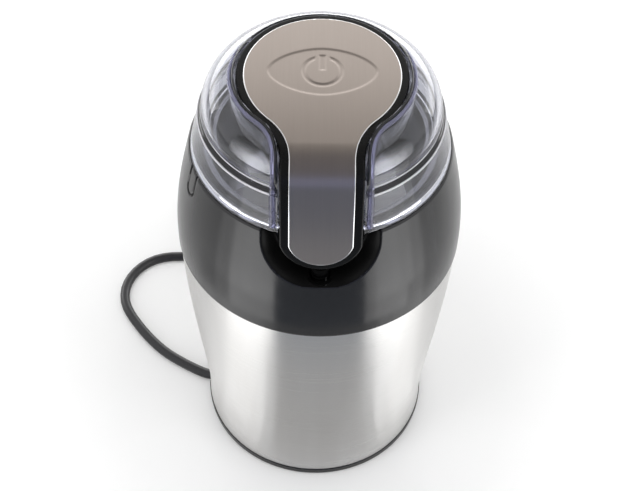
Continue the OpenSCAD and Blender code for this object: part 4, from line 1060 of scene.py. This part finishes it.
LID_MIDDLE_Z, CEILING_Z, WALL_Y, WALL_X = 170, 1170, -430, 330
BACK = ((-5, 9, 4.5), (9, 17, 2.6), (17, 25, 1.2))


def from_lid(azimuth, elevation, distance):
    """The point in a direction from the lid, in degrees from the front towards +X and upwards."""
    a, e = math.radians(azimuth), math.radians(elevation)
    x = distance * math.sin(a) * math.cos(e)
    y = -distance * math.cos(a) * math.cos(e)
    return (x, y, LID_MIDDLE_Z + distance * math.sin(e))


def sphere_card(name, distance, first, last, low, high, strength, middle=None):
    """A card between two directions and two elevations, in degrees, seen from the lid."""
    points = [from_lid(a, e, distance) for a, e in ((first, low), (last, low), (last, high), (first, high))]
    reflected_card(name, points, (1.0, 1.0, 1.0), strength, middle)


def make_cards():
    """Dark cards in front and overhead, bright ones at both sides and behind, as a small studio's walls."""
    for low, high, colour, strength in FRONT:
        wall = [(-WALL_X, WALL_Y, low), (WALL_X, WALL_Y, low),
                (WALL_X, WALL_Y, high), (-WALL_X, WALL_Y, high)]
        reflected_card("front_card", wall, colour, strength)
    slope = [(-420, WALL_Y, 900), (420, WALL_Y, 900), (420, -60, CEILING_Z), (-420, -60, CEILING_Z)]
    reflected_card("high_card", slope, (0.9, 0.9, 1.0), 0.17)
    for near, far, strength in OVERHEAD:
        strip = [(x, y, CEILING_Z) for x, y in ((-500, near), (500, near), (500, far), (-500, far))]
        reflected_card("overhead_card", strip, (1.0, 0.98, 0.96), strength)
    floor_card("front_floor_card", -28, 34, *NEAR, (1.0, 0.99, 0.98), 0.47)
    floor_card("front_floor_card", -29, 31, MIDDLE[0], FAR[1], (0.80, 0.88, 1.0), 0.34)
    for (near, far), cards in LEFT_CARDS:
        for first, last, strength in cards:
            floor_card("left_floor_card", -last, -first, near, far, (1, 1, 1), strength)
    for (near, far), cards in RIGHT_CARDS:
        for first, last, strength in cards:
            floor_card("right_floor_card", first, last, near, far, (1, 1, 1), strength)
    for degrees in range(112, 248, 17):
        for low, high, strength in BACK:
            sphere_card("back_card", 720, degrees, degrees + 17, low, high, strength)
    for side, label in ((-1, "left_key_card"), (1, "right_key_card")):
        middle = from_lid(side * KEY_AZIMUTH, KEY_ELEVATION, KEY_DISTANCE)
        for first, last in ((26, 54), (54, 84)):
            sphere_card(label, KEY_DISTANCE, side * first, side * last, -16, 34, KEY_STRENGTH, middle)


def area_light(name, place, target, width, height, power):
    data = bpy.data.lights.new(name, "AREA")
    data.shape = "RECTANGLE"
    data.size = width
    data.size_y = height
    data.energy = power
    lamp = bpy.data.objects.new(name, data)
    lamp.location = place
    aim = Vector(target) - Vector(place)
    lamp.rotation_euler = aim.to_track_quat("-Z", "Y").to_euler()
    bpy.context.scene.collection.objects.link(lamp)
    return lamp


def make_world():
    world = bpy.data.worlds.new("world")
    world.use_nodes = True
    tree = world.node_tree
    shown = tree.nodes["Background"]
    shown.inputs["Color"].default_value = (1, 1, 1, 1)
    path = tree.nodes.new("ShaderNodeLightPath")
    seen = tree.nodes.new("ShaderNodeMath")
    seen.operation = "MAXIMUM"
    clear = tree.nodes.new("ShaderNodeMath")
    clear.operation = "MAXIMUM"
    tree.links.new(path.outputs["Is Camera Ray"], seen.inputs[0])
    tree.links.new(path.outputs["Is Glossy Ray"], seen.inputs[1])
    tree.links.new(seen.outputs[0], clear.inputs[0])
    tree.links.new(path.outputs["Is Transmission Ray"], clear.inputs[1])
    level = tree.nodes.new("ShaderNodeMapRange")
    level.inputs["To Min"].default_value = 0.45
    level.inputs["To Max"].default_value = 1.0
    tree.links.new(clear.outputs[0], level.inputs["Value"])
    tree.links.new(level.outputs["Result"], shown.inputs["Strength"])
    bpy.context.scene.world = world


make_floor()
make_cards()
# Lamps, with their places and sizes in metres
for lamp in (
    area_light("left_softbox", (-0.72, -0.47, 0.50), (0, 0, 0.10), 0.36, 0.9, 2.2),
    area_light("right_softbox", (0.72, -0.47, 0.50), (0, 0, 0.10), 0.36, 0.9, 2.0),
    area_light("top_softbox", (0.0, -0.05, 1.1), (0, 0, 0.1), 1.0, 0.8, 5.0),
):
    lamp.visible_glossy = False
    lamp.visible_transmission = False
make_world()
bpy.context.scene.view_settings.view_transform = "Standard"
